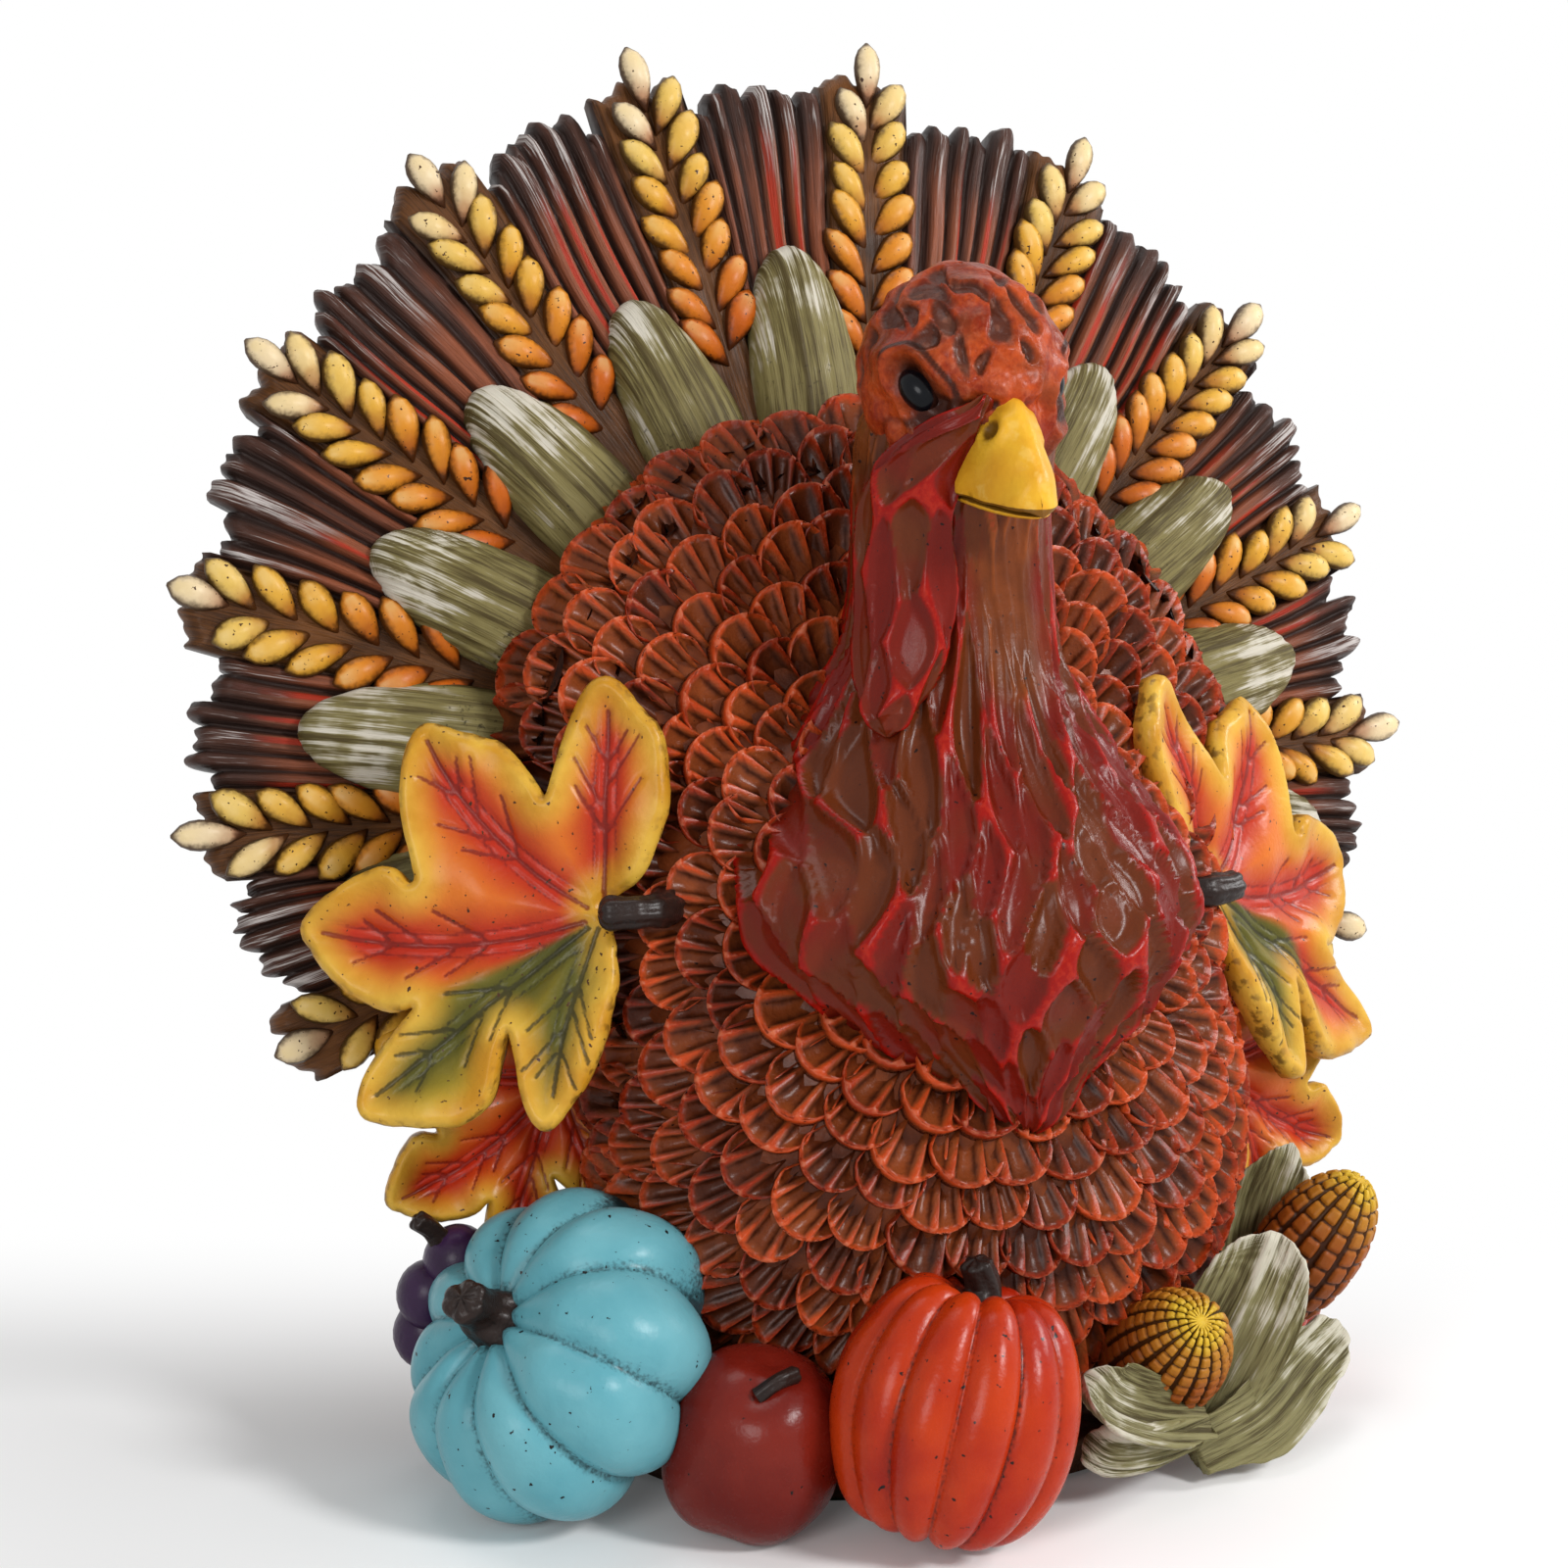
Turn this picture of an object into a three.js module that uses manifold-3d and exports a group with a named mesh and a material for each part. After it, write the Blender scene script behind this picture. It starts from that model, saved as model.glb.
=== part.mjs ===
// Thanksgiving turkey figure: a hand-painted cast-resin ornament built from glued castings.
// Millimetres, +Z up. The figure faces -Y and stands on Z = 0, with the origin under its middle.
import * as THREE from "three";
import { mergeVertices } from "three/addons/utils/BufferGeometryUtils.js";
import Module from "manifold-3d";

const wasm = await Module();
wasm.setup();

// Fits
const CLEARANCE = 0.3; // glue gap between two castings
const WELD = 1e-4; // corners closer than this are one corner
const SHARPEST_MITRE = 0.5; // least cosine that a grown corner is stretched by

// Base
const PAD_THICKNESS = 1;
const PAD_INSET = 3; // felt stops this far inside the plate's rim
const PLATE_HALF_WIDTH = 58;
const PLATE_HALF_DEPTH = 38;
const PLATE_Y = 5;
const PLATE_THICKNESS = 6;
const PLUG_HEIGHT = 7; // boss of the plate inside the hollow body

// Body: a round belly below, a shallow dome of feathers in front of the tail, and the torso between
const WALL = 6;
const BELLY_Y = 2;
const BELLY_Z = 52;
const BELLY_HALF_WIDTH = 59;
const BELLY_FRONT = 43;
const BELLY_BACK = 36;
const BELLY_HALF_HEIGHT = 56;
const DOME_RADIUS = 73;
const DOME_FRONT = 27;
const DOME_BACK = 30;
const TORSO_Y = 8;
const TORSO_Z = 95;
const TORSO_HALF_WIDTH = 54;
const TORSO_FRONT = 31;
const TORSO_BACK = 26;
const TORSO_HALF_HEIGHT = 42;

// Feathers: courses of scallops cut into the body, with a step under each free end
const BODY_COLUMNS = 44; // two to a feather
const BODY_RINGS = 12; // one to a course
const FEATHER_STEP = 2.6; // depth of the step
const FEATHER_LIP = 0.06; // share of a course that the step takes
const FEATHER_STAY = 0.35; // share of a course that the sides of a feather stay back from its end
// First and last ring, counted from the lowest or hindmost, with feathers that point down or up the rings
const NO_RINGS = [1, 0];
const BELLY_FEATHERS = { down: [2, 10], up: NO_RINGS };
const TORSO_FEATHERS = { down: [4, 9], up: NO_RINGS };
const DOME_FEATHERS = { down: [7, 11], up: [1, 5] };
const POLE_SHARE = 0.97; // how near the last ring comes to a pole

// Tail fan: a shallow cone that leans back, seen from its centre
const FAN_Y = 24;
const FAN_Z = 110;
const FAN_LEAN = 15.4; // degrees
const FAN_SWEEP = 20; // how far the tips lie behind the centre
const FAN_TIP_RADIUS = 121; // length of the ears level with the centre
const FAN_TIP_RISE = 21; // how much longer the top ears are than the level ones
const FAN_THICKNESS = 7;
const FAN_EDGE_THICKNESS = 4.5;
const FAN_RELIEF = 1.8; // height of a bark ridge
const STRIP_HALF_ANGLE = 3.5;
const STRIP_GROOVE_ANGLE = 0.7;
const STRIP_END = 0.965; // share of the ear's length that its strip reaches
const BARK_RIDGES = 5;
const BARK_ENDS = [0.925, 0.955, 0.94, 0.965, 0.93]; // share of the ear's length that each ridge reaches
const EAR_COUNT = 12;
const EAR_STEP = 19.54; // degrees between neighbouring ears
const EAR_OVERHANG = 1.02; // share of an ear's length that clears its tip
const TENON_ANGLES = [-58.6, 0, 58.6];
const TENON_WIDTH = 14;
const TENON_THICKNESS = 4;
const TENON_DEPTH = 11; // length of a tenon past the outside of the body
const TENON_HOLD = 6; // length of a tenon inside the fan
const RIDGE_NOTCH = 0.02; // share of the ear's length that a groove stops short of its ridge
const STRIP_NOTCH = 0.04; // share that the groove beside a strip stops short of it

// Wheat ears
const EAR_ROOT = 0.6; // share of the ear's length where it comes out from behind the green leaves
const GRAIN_PAIRS = 8;
const GRAIN_LENGTH = 10;
const GRAIN_THICKNESS = 3.6;
const EAR_HALF_WIDTH = 6.8;
const EAR_WAIST = 3.4; // half width between two grains
const EAR_BACKING = 1; // thickness under the grains
const GRAIN_SHOULDER = 0.8; // share of a grain's length where it is widest

// Green husk feathers in front of the fan
const HUSK_COUNT = 11;
const HUSK_TIP = 100;
const HUSK_ROOT = 57;
const HUSK_HALF_WIDTH = 10.5;
const HUSK_THICKNESS = 7;

// Neck and breast, from the point on the belly up to the neck's cup
const BREAST = [
  { z: 66, y: -33, halfWidth: 4, halfDepth: 5 },
  { z: 73, y: -28, halfWidth: 14, halfDepth: 14 },
  { z: 80, y: -23, halfWidth: 24, halfDepth: 22 },
  { z: 89, y: -19, halfWidth: 32, halfDepth: 30 },
  { z: 97, y: -16, halfWidth: 37, halfDepth: 35.5 },
  { z: 105, y: -13, halfWidth: 37, halfDepth: 36 },
  { z: 114, y: -9, halfWidth: 33, halfDepth: 33.5 },
  { z: 123, y: -6, halfWidth: 27.5, halfDepth: 28.5 },
  { z: 132, y: -5, halfWidth: 22.5, halfDepth: 23.5 },
  { z: 141, y: -4.5, halfWidth: 18.5, halfDepth: 20.5 },
  { z: 151, y: -4.5, halfWidth: 16.5, halfDepth: 18.5 },
  { z: 162, y: -5.5, halfWidth: 15.8, halfDepth: 17.5 },
  { z: 173, y: -8, halfWidth: 15.8, halfDepth: 17 },
];
const BREAST_PEG_RADIUS = 7;
const BREAST_PEG_LENGTH = 16; // past the outside of the body
const BREAST_PEG_Z = 112;

// Head
const NECK_TOP = BREAST[BREAST.length - 1];
const HEAD_AHEAD = 2.8; // of the neck's top
const HEAD_RISE = 15; // above the neck's top
const HEAD_Y = NECK_TOP.y - HEAD_AHEAD;
const HEAD_Z = NECK_TOP.z + HEAD_RISE;
const HEAD_HALF_WIDTH = 16.6;
const HEAD_FRONT = 19;
const HEAD_BACK = 17;
const HEAD_UP = 17.6;
const HEAD_DOWN = 23;
const HEAD_PEG_RADIUS = 6;
const HEAD_PEG_LENGTH = 12; // below the head
const EYE_RADIUS = 3;
const EYE_BEARING = 56; // degrees from straight ahead
const EYE_RISE = -1.5;
const BEAK_HALF_WIDTH = 8.6;
const BEAK_FRONT = 13.5;
const BEAK_UP = 12;
const BEAK_DOWN = 9;
const BEAK_DROP = 11; // centre of the upper beak below the head's centre
const BEAK_AHEAD = 0.78; // share of the head's reach at which the upper beak is centred
const LOWER_BEAK_HALF_WIDTH = 7.4;
const LOWER_BEAK_FRONT = 11;
const LOWER_BEAK_HALF_HEIGHT = 4;
const LOWER_BEAK_AHEAD = 0.72;
// Down the snood: below, beside and in front of the head's centre
const SNOOD = [
  { drop: -1, x: -4, ahead: 18, halfWidth: 3 },
  { drop: 6, x: -8, ahead: 16, halfWidth: 6 },
  { drop: 15, x: -11.5, ahead: 13, halfWidth: 8 },
  { drop: 27, x: -13, ahead: 10, halfWidth: 8.5 },
  { drop: 39, x: -14.5, ahead: 9, halfWidth: 8.5 },
  { drop: 49, x: -16.5, ahead: 9, halfWidth: 7 },
  { drop: 57, x: -18, ahead: 10, halfWidth: 3.5 },
];
const SNOOD_HALF_THICKNESS = 3.4;

// Leaf wings: points in the plane of the leaf, u outwards and v up from its stem
const LEAF_LOBES = [
  { tip: [1, 39.5], swell: [19, 5] },
  { tip: [31.5, 31], swell: [7, 7] },
  { tip: [51.5, -5], swell: [9, 10] },
  { tip: [39.5, -34.5], swell: [5, 17] },
  { tip: [7.5, -37.5], swell: [3, 10] },
];
const LEAF_NOTCHES = [
  [-3, 4],
  [10.8, 18.6],
  [31.3, 5.3],
  [29.8, -16.3],
  [14.8, -20.3],
  [-2.4, -3.2],
];
const LEAF_THICKNESS = 5;
const LEAF_CURVE_STEPS = 4;
const WING_STANDOFF = { left: 9, right: 3 }; // stem's outer end from the side of the torso
const WING_Y = -4;
const WING_Z = { left: 100.5, right: 94.5 };
const WING_TURN = 33.6; // degrees that a leaf faces outwards
const WING_LEAN = { left: 16, right: 14 }; // degrees that a leaf faces upwards
const WING_STEM_RADIUS = 3.6;
const WING_STEM_TIP = 2.6;
const WING_STEM_HOLD = 10; // length of the stem inside the body
const LOW_LEAF_SCALE = 0.72;
const LOW_LEAF_STANDOFF = { left: 3, right: -4 }; // from the side of the belly
const LOW_LEAF_Y = 17.5;
const LOW_LEAF_Z = { left: 71, right: 58 };
const LOW_LEAF_ROLL = -30; // degrees that it hangs down
const LOW_LEAF_TURN = 14;
const LOW_LEAF_LEAN = 10;

// Harvest round the base: bearing in degrees from the front, positive to the right in front view,
// and how far the fruit reaches in over the plate's rim
const TEAL = { bearing: -80, bite: 10.5, z: 25, radius: 26.5, halfHeight: 20, ribs: 9, groove: 2.2 };
const TEAL_AXIS = [-0.6, -0.55, 0.59];
const TEAL_STEM_LEAN = [-0.75, -0.3, 0.6];
const APPLE = { bearing: -52.5, bite: 3, z: 16, radius: 14.5, halfHeight: 18 };
const ORANGE = { bearing: -20, bite: 0.5, z: 22.5, radius: 20.5, halfHeight: 25, ribs: 10, groove: 1.6 };
const ORANGE_AXIS = [0.08, 0.06, 1];
const ORANGE_STEM_LEAN = [0.25, 0, 1];
const REAR = { bearing: 91, bite: 9, z: 15, radius: 17, halfHeight: 15, ribs: 8, groove: 1.4 };
const POLE_DIMPLE = 0.22; // share of the half height that a pumpkin sinks at its pole
const STEM_RADIUS = 4;
const STEM_TIP_RADIUS = 2.8;
const STEM_LENGTH = 13;
const APPLE_STEM_RADIUS = 1.4;
const APPLE_STEM_LENGTH = 8;
const APPLE_STEM_LEAN = [0.8, -0.3, 0.6];
const FRONT_COB = { bearing: 37, bite: 2.4, z: 18, radius: 9.4, halfLength: 20 };
const FRONT_COB_AXIS = [-0.12, -0.76, 0.61];
const REAR_COB = { bearing: 76, bite: -9.5, z: 24, radius: 7.5, halfLength: 17 };
const REAR_COB_AXIS = [0.4, -0.1, 0.9];
const COB_ROWS = 10;
const COB_GROOVE = 0.5;
// Husk leaves: root and tip measured from the middle of their cob
const HUSK_LEAVES = [
  { cob: FRONT_COB, root: [6, -3, -10], tip: [27, 6, 20], halfWidth: 9.5, facing: [-0.55, -0.8, 0.2] },
  { cob: FRONT_COB, root: [6, -3, -12], tip: [42, 11, -0.5], halfWidth: 8, facing: [-0.3, -0.8, 0.5] },
  { cob: FRONT_COB, root: [4, -6, -9], tip: [-24, -10, 4], halfWidth: 8, facing: [-0.1, -0.8, 0.6] },
  { cob: FRONT_COB, root: [3, -6, -11], tip: [-21, -11, -9], halfWidth: 6, facing: [-0.3, -0.9, 0.3] },
  { cob: REAR_COB, root: [-10, -3, 2], tip: [-4, -1.5, 25], halfWidth: 7.5, facing: [-0.4, -0.9, 0.1] },
];
const HUSK_LEAF_THICKNESS = 3.4;
const HUSK_LEAF_OVERLAP = 5; // how far a husk leaf runs on past its root
const GRAPE_RADIUS = 6;
// Grapes: measured from the middle of the teal pumpkin that they hang behind
const GRAPES = [
  [-10, 24.5, 14],
  [-15, 26.5, 7],
  [-7, 30.5, 5],
  [-15, 29.5, -1],
  [-7, 26.5, -4],
  [-12, 27.5, -10],
];
const GRAPE_STEM_RADIUS = 1.6;
const GRAPE_STEM_LENGTH = 8;
const GRAPE_STEM_LEAN = [-0.7, -0.1, 0.7];

// Paint
const PAINT = {
  feather: { color: 0x5a2113, roughness: 0.45 },
  breast: { color: 0x6d1712, roughness: 0.4 },
  head: { color: 0x8a2f16, roughness: 0.4 },
  beak: { color: 0xe0a51c, roughness: 0.35 },
  eye: { color: 0x0c0808, roughness: 0.1 },
  bark: { color: 0x3a1c14, roughness: 0.5 },
  wheat: { color: 0xe0a53a, roughness: 0.45 },
  husk: { color: 0x7d8148, roughness: 0.5 },
  leaf: { color: 0xe08a24, roughness: 0.4 },
  stem: { color: 0x1e1614, roughness: 0.45 },
  teal: { color: 0x4fb0bd, roughness: 0.4 },
  apple: { color: 0x6d120e, roughness: 0.3 },
  orange: { color: 0xd33c10, roughness: 0.35 },
  corn: { color: 0xc07a1a, roughness: 0.45 },
  grape: { color: 0x2c1838, roughness: 0.35 },
  ground: { color: 0x3c2416, roughness: 0.7 },
  felt: { color: 0x1f2a1c, roughness: 0.95 },
};

const PLATE_TOP = PAD_THICKNESS + PLATE_THICKNESS;
const FAN_CENTRE = new THREE.Vector3(0, FAN_Y, FAN_Z);
const UP = new THREE.Vector3(0, 0, 1);
const FRONT = new THREE.Vector3(0, -1, 0);

function radians(degrees) {
  return THREE.MathUtils.degToRad(degrees);
}

function vector(list) {
  return new THREE.Vector3(...list);
}

// Solids: joining, cutting and growing closed meshes
function solid(geometry) {
  const bare = geometry.clone();
  bare.deleteAttribute("normal");
  bare.deleteAttribute("uv");
  const merged = mergeVertices(bare, WELD);
  return new wasm.Manifold(
    new wasm.Mesh({
      numProp: 3,
      vertProperties: new Float32Array(merged.attributes.position.array),
      triVerts: new Uint32Array(merged.index.array),
    }),
  );
}

function geometryOf(body) {
  const mesh = body.getMesh();
  const geometry = new THREE.BufferGeometry();
  geometry.setAttribute("position", new THREE.BufferAttribute(mesh.vertProperties, 3));
  geometry.setIndex(new THREE.BufferAttribute(mesh.triVerts, 1));
  return geometry;
}

function joined(...bodies) {
  return bodies.reduce((whole, body) => whole.add(body));
}

function largest(body) {
  const pieces = body.decompose();
  return pieces.reduce((best, piece) => (piece.volume() > best.volume() ? piece : best));
}

// The body with each face moved out by the glue gap.
function grown(body, distance = CLEARANCE) {
  const geometry = geometryOf(body);
  const corners = geometry.attributes.position;
  const faces = geometry.index;
  geometry.computeVertexNormals();
  const normals = geometry.attributes.normal;
  const sharpest = new Float32Array(corners.count).fill(1);
  const face = new THREE.Triangle();
  const faceNormal = new THREE.Vector3();
  const cornerNormal = new THREE.Vector3();
  for (let i = 0; i < faces.count; i += 3) {
    face.setFromAttributeAndIndices(corners, faces.getX(i), faces.getX(i + 1), faces.getX(i + 2));
    face.getNormal(faceNormal);
    for (let k = i; k < i + 3; k += 1) {
      const corner = faces.getX(k);
      cornerNormal.fromBufferAttribute(normals, corner);
      sharpest[corner] = Math.min(sharpest[corner], cornerNormal.dot(faceNormal));
    }
  }
  for (let i = 0; i < corners.count; i += 1) {
    const reach = distance / Math.max(sharpest[i], SHARPEST_MITRE);
    cornerNormal.fromBufferAttribute(normals, i).multiplyScalar(reach);
    corners.setXYZ(
      i,
      corners.getX(i) + cornerNormal.x,
      corners.getY(i) + cornerNormal.y,
      corners.getZ(i) + cornerNormal.z,
    );
  }
  return solid(geometry);
}

// A piece cut to sit on its neighbours with the glue gap between them.
function seated(piece, ...neighbours) {
  const cutters = neighbours.map((neighbour) => grown(neighbour).add(neighbour));
  return largest(cutters.reduce((rest, cutter) => rest.subtract(cutter), piece));
}

// The part of a piece above the figure's underside.
function standing(piece) {
  const reach = 2 * FAN_TIP_RADIUS;
  return largest(piece.subtract(ovalPlate(reach, reach, 0, PAD_THICKNESS - FAN_Z, FAN_Z, 4)));
}

// Shapes
function placed(geometry, origin, right, ahead, up) {
  const matrix = new THREE.Matrix4().makeBasis(right, ahead, up).setPosition(origin);
  return geometry.clone().applyMatrix4(matrix);
}

// Axes with the third one along a direction, and the second as near as can be to a hint.
function axesAlong(direction, hint) {
  const up = direction.clone().normalize();
  const right = hint.clone().cross(up).normalize();
  const ahead = up.clone().cross(right);
  return [right, ahead, up];
}

// An egg with its poles on Z and its own reach to the front, back, top and bottom.
function ovoid({ halfWidth, front, back, up, down, around = 24, rings = 14 }) {
  const egg = new THREE.SphereGeometry(1, around, rings).rotateX(Math.PI / 2);
  const corners = egg.attributes.position;
  for (let i = 0; i < corners.count; i += 1) {
    const y = corners.getY(i);
    const z = corners.getZ(i);
    corners.setXYZ(i, corners.getX(i) * halfWidth, y * (y < 0 ? front : back), z * (z > 0 ? up : down));
  }
  return egg;
}

// A skin through rings of points, closed by a point at each end.
function skin(rings) {
  const size = rings[0].length;
  const middle = (ring) => ring.reduce((sum, p) => sum.add(p), new THREE.Vector3()).divideScalar(size);
  const points = [...rings.flat(), middle(rings[0]), middle(rings[rings.length - 1])];
  const first = size * rings.length;
  const index = [];
  for (let k = 0; k < size; k += 1) {
    const next = (k + 1) % size;
    for (let i = 0; i + 1 < rings.length; i += 1) {
      const low = i * size;
      const high = low + size;
      index.push(low + k, low + next, high + next, low + k, high + next, high + k);
    }
    const top = first - size;
    index.push(first, next, k, first + 1, top + k, top + next);
  }
  return new THREE.BufferGeometry().setFromPoints(points).setIndex(index);
}

function ellipseRing({ centre, right, ahead, halfWidth, halfDepth, points }) {
  return Array.from({ length: points }, (_, k) => {
    const turn = (2 * Math.PI * k) / points;
    return centre
      .clone()
      .addScaledVector(right, halfWidth * Math.cos(turn))
      .addScaledVector(ahead, halfDepth * Math.sin(turn));
  });
}

// A round post that tapers from one point to another.
function post(from, to, fromRadius, toRadius, sides = 10) {
  const length = from.distanceTo(to);
  const post = new THREE.CylinderGeometry(toRadius, fromRadius, length, sides);
  post.rotateX(Math.PI / 2).translate(0, 0, length / 2);
  const hint = Math.abs(to.z - from.z) > length / 2 ? FRONT : UP;
  return solid(placed(post, from, ...axesAlong(to.clone().sub(from), hint)));
}

// An oval plate with its underside at a height.
function ovalPlate(halfWidth, halfDepth, centreY, bottom, thickness, steps = 20) {
  const outline = new THREE.Shape().absellipse(0, 0, halfWidth, halfDepth, 0, 2 * Math.PI);
  const plate = new THREE.ExtrudeGeometry(outline, {
    depth: thickness,
    bevelEnabled: false,
    curveSegments: steps,
  });
  return solid(plate.translate(0, centreY, bottom));
}

// A flat blade, widest at its middle, from a root to a tip.
function blade({ root, tip, facing, halfWidth, thickness, overlap }) {
  const along = tip.clone().sub(root);
  const halfLength = (along.length() + overlap) / 2;
  const egg = ovoid({
    halfWidth,
    front: thickness / 2,
    back: thickness / 2,
    up: halfLength,
    down: halfLength,
    around: 10,
    rings: 7,
  });
  const [right, ahead, up] = axesAlong(along, facing.clone().negate());
  return solid(placed(egg, tip.clone().addScaledVector(up, -halfLength), right, ahead, up));
}

// Base
function feltPad() {
  const halfWidth = PLATE_HALF_WIDTH - PAD_INSET;
  const halfDepth = PLATE_HALF_DEPTH - PAD_INSET;
  return ovalPlate(halfWidth, halfDepth, PLATE_Y, 0, PAD_THICKNESS);
}

function basePlate() {
  return ovalPlate(PLATE_HALF_WIDTH, PLATE_HALF_DEPTH, PLATE_Y, PAD_THICKNESS, PLATE_THICKNESS);
}

// The boss on the plate that fills the body's mouth.
function platePlug() {
  const rise = (BELLY_Z - PLATE_TOP) / (BELLY_HALF_HEIGHT - WALL);
  const share = Math.sqrt(1 - rise * rise);
  const plugHalfWidth = (BELLY_HALF_WIDTH - WALL) * share - 2 * CLEARANCE;
  const plugHalfDepth = (BELLY_BACK - WALL) * share - 2 * CLEARANCE;
  return ovalPlate(plugHalfWidth, plugHalfDepth, BELLY_Y, PLATE_TOP, PLUG_HEIGHT, 12);
}

// Body
function bodySizes(inset) {
  return {
    belly: {
      halfWidth: BELLY_HALF_WIDTH - inset,
      front: BELLY_FRONT - inset,
      back: BELLY_BACK - inset,
      up: BELLY_HALF_HEIGHT - inset,
      down: BELLY_HALF_HEIGHT - inset,
    },
    torso: {
      halfWidth: TORSO_HALF_WIDTH - inset,
      front: TORSO_FRONT - inset,
      back: TORSO_BACK - inset,
      up: TORSO_HALF_HEIGHT - inset,
      down: TORSO_HALF_HEIGHT - inset,
    },
    // The dome's poles are its front and back
    dome: {
      halfWidth: DOME_RADIUS - inset,
      front: DOME_RADIUS - inset,
      back: DOME_RADIUS - inset,
      up: DOME_FRONT - inset,
      down: DOME_BACK - inset,
    },
  };
}

function bodyOf({ belly, torso, dome }) {
  belly.translate(0, BELLY_Y, BELLY_Z);
  torso.translate(0, TORSO_Y, TORSO_Z);
  dome.rotateX(Math.PI / 2 - radians(FAN_LEAN)).translate(0, FAN_Y, FAN_Z);
  return joined(solid(belly), solid(torso), solid(dome));
}

function bodyForm(inset, around, rings) {
  const { belly, torso, dome } = bodySizes(inset);
  return bodyOf({
    belly: ovoid({ ...belly, around, rings }),
    torso: ovoid({ ...torso, around, rings }),
    dome: ovoid({ ...dome, around, rings }),
  });
}

// An egg with ovoid's own facets, cut in courses of feathers that point down or up to its poles.
function featheredOvoid(size, { down, up }) {
  const corner = (ring, k) => {
    const elevation = Math.PI * (ring / BODY_RINGS - 0.5);
    const turn = (2 * Math.PI * k) / BODY_COLUMNS;
    const level = Math.cos(elevation);
    return new THREE.Vector3(
      level * Math.cos(turn) * size.halfWidth,
      level * Math.sin(turn) * (Math.sin(turn) < 0 ? size.front : size.back),
      Math.sin(elevation) * (elevation > 0 ? size.up : size.down),
    );
  };
  const between = (ring, k, share) =>
    corner(ring, k).lerp(corner(ring + Math.sign(share), k), Math.abs(share));
  const level = (place) => Array.from({ length: BODY_COLUMNS }, (_, k) => place(k));
  const has = ([first, last], ring) => ring >= first && ring <= last;
  const levels = [level((k) => between(1, k, -POLE_SHARE))];
  for (let ring = 1; ring < BODY_RINGS; ring += 1) {
    const way = has(down, ring) ? 1 : -1;
    const stay = (k) => way * FEATHER_STAY * ((k + ring) % 2);
    const end = level((k) => between(ring, k, stay(k)));
    const foot = level((k) => {
      const place = between(ring, k, stay(k) - way * FEATHER_LIP);
      return place.addScaledVector(place.clone().normalize(), -FEATHER_STEP);
    });
    if (has(down, ring)) {
      levels.push(foot, end);
    } else if (has(up, ring)) {
      levels.push(end, foot);
    } else {
      levels.push(level((k) => corner(ring, k)));
    }
  }
  levels.push(level((k) => between(BODY_RINGS - 1, k, POLE_SHARE)));
  return skin(levels);
}

function featheredBody() {
  const { belly, torso, dome } = bodySizes(0);
  return bodyOf({
    belly: featheredOvoid(belly, BELLY_FEATHERS),
    torso: featheredOvoid(torso, TORSO_FEATHERS),
    dome: featheredOvoid(dome, DOME_FEATHERS),
  });
}

function abovePlate(body) {
  const reach = 2 * BELLY_HALF_WIDTH;
  return largest(body.subtract(ovalPlate(reach, reach, 0, PLATE_TOP - FAN_Z, FAN_Z, 4)));
}

// Neck, breast and head
function breastForm() {
  const right = new THREE.Vector3(1, 0, 0);
  const back = new THREE.Vector3(0, 1, 0);
  const rings = BREAST.map(({ z, y, halfWidth, halfDepth }) =>
    ellipseRing({
      centre: new THREE.Vector3(0, y, z),
      right,
      ahead: back,
      halfWidth,
      halfDepth,
      points: 20,
    }),
  );
  return solid(skin(rings));
}

function headForm() {
  const egg = ovoid({
    halfWidth: HEAD_HALF_WIDTH,
    front: HEAD_FRONT,
    back: HEAD_BACK,
    up: HEAD_UP,
    down: HEAD_DOWN,
    around: 20,
    rings: 12,
  });
  return solid(egg.translate(0, HEAD_Y, HEAD_Z));
}

function headPeg() {
  const from = new THREE.Vector3(0, HEAD_Y, HEAD_Z - HEAD_DOWN / 2);
  const to = new THREE.Vector3(0, HEAD_Y, HEAD_Z - HEAD_DOWN - HEAD_PEG_LENGTH);
  return post(from, to, HEAD_PEG_RADIUS, HEAD_PEG_RADIUS, 14);
}

function eyeForm(side) {
  const turn = radians(EYE_BEARING);
  const ball = new THREE.SphereGeometry(EYE_RADIUS, 10, 6);
  const rim = Math.sqrt(1 - (EYE_RISE / HEAD_DOWN) ** 2);
  return solid(
    ball.translate(
      side * HEAD_HALF_WIDTH * rim * Math.sin(turn),
      HEAD_Y - HEAD_FRONT * rim * Math.cos(turn),
      HEAD_Z + EYE_RISE,
    ),
  );
}

function beakForm() {
  const egg = ovoid({
    halfWidth: BEAK_HALF_WIDTH,
    front: BEAK_FRONT,
    back: BEAK_FRONT / 2,
    up: BEAK_UP,
    down: BEAK_DOWN,
    around: 16,
    rings: 10,
  });
  return solid(egg.translate(0, HEAD_Y - HEAD_FRONT * BEAK_AHEAD, HEAD_Z - BEAK_DROP));
}

function lowerBeakForm() {
  const egg = ovoid({
    halfWidth: LOWER_BEAK_HALF_WIDTH,
    front: LOWER_BEAK_FRONT,
    back: LOWER_BEAK_FRONT,
    up: LOWER_BEAK_HALF_HEIGHT,
    down: LOWER_BEAK_HALF_HEIGHT,
    around: 14,
    rings: 8,
  });
  return solid(egg.translate(0, HEAD_Y - HEAD_FRONT * LOWER_BEAK_AHEAD, HEAD_Z - BEAK_DROP - BEAK_DOWN));
}

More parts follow.
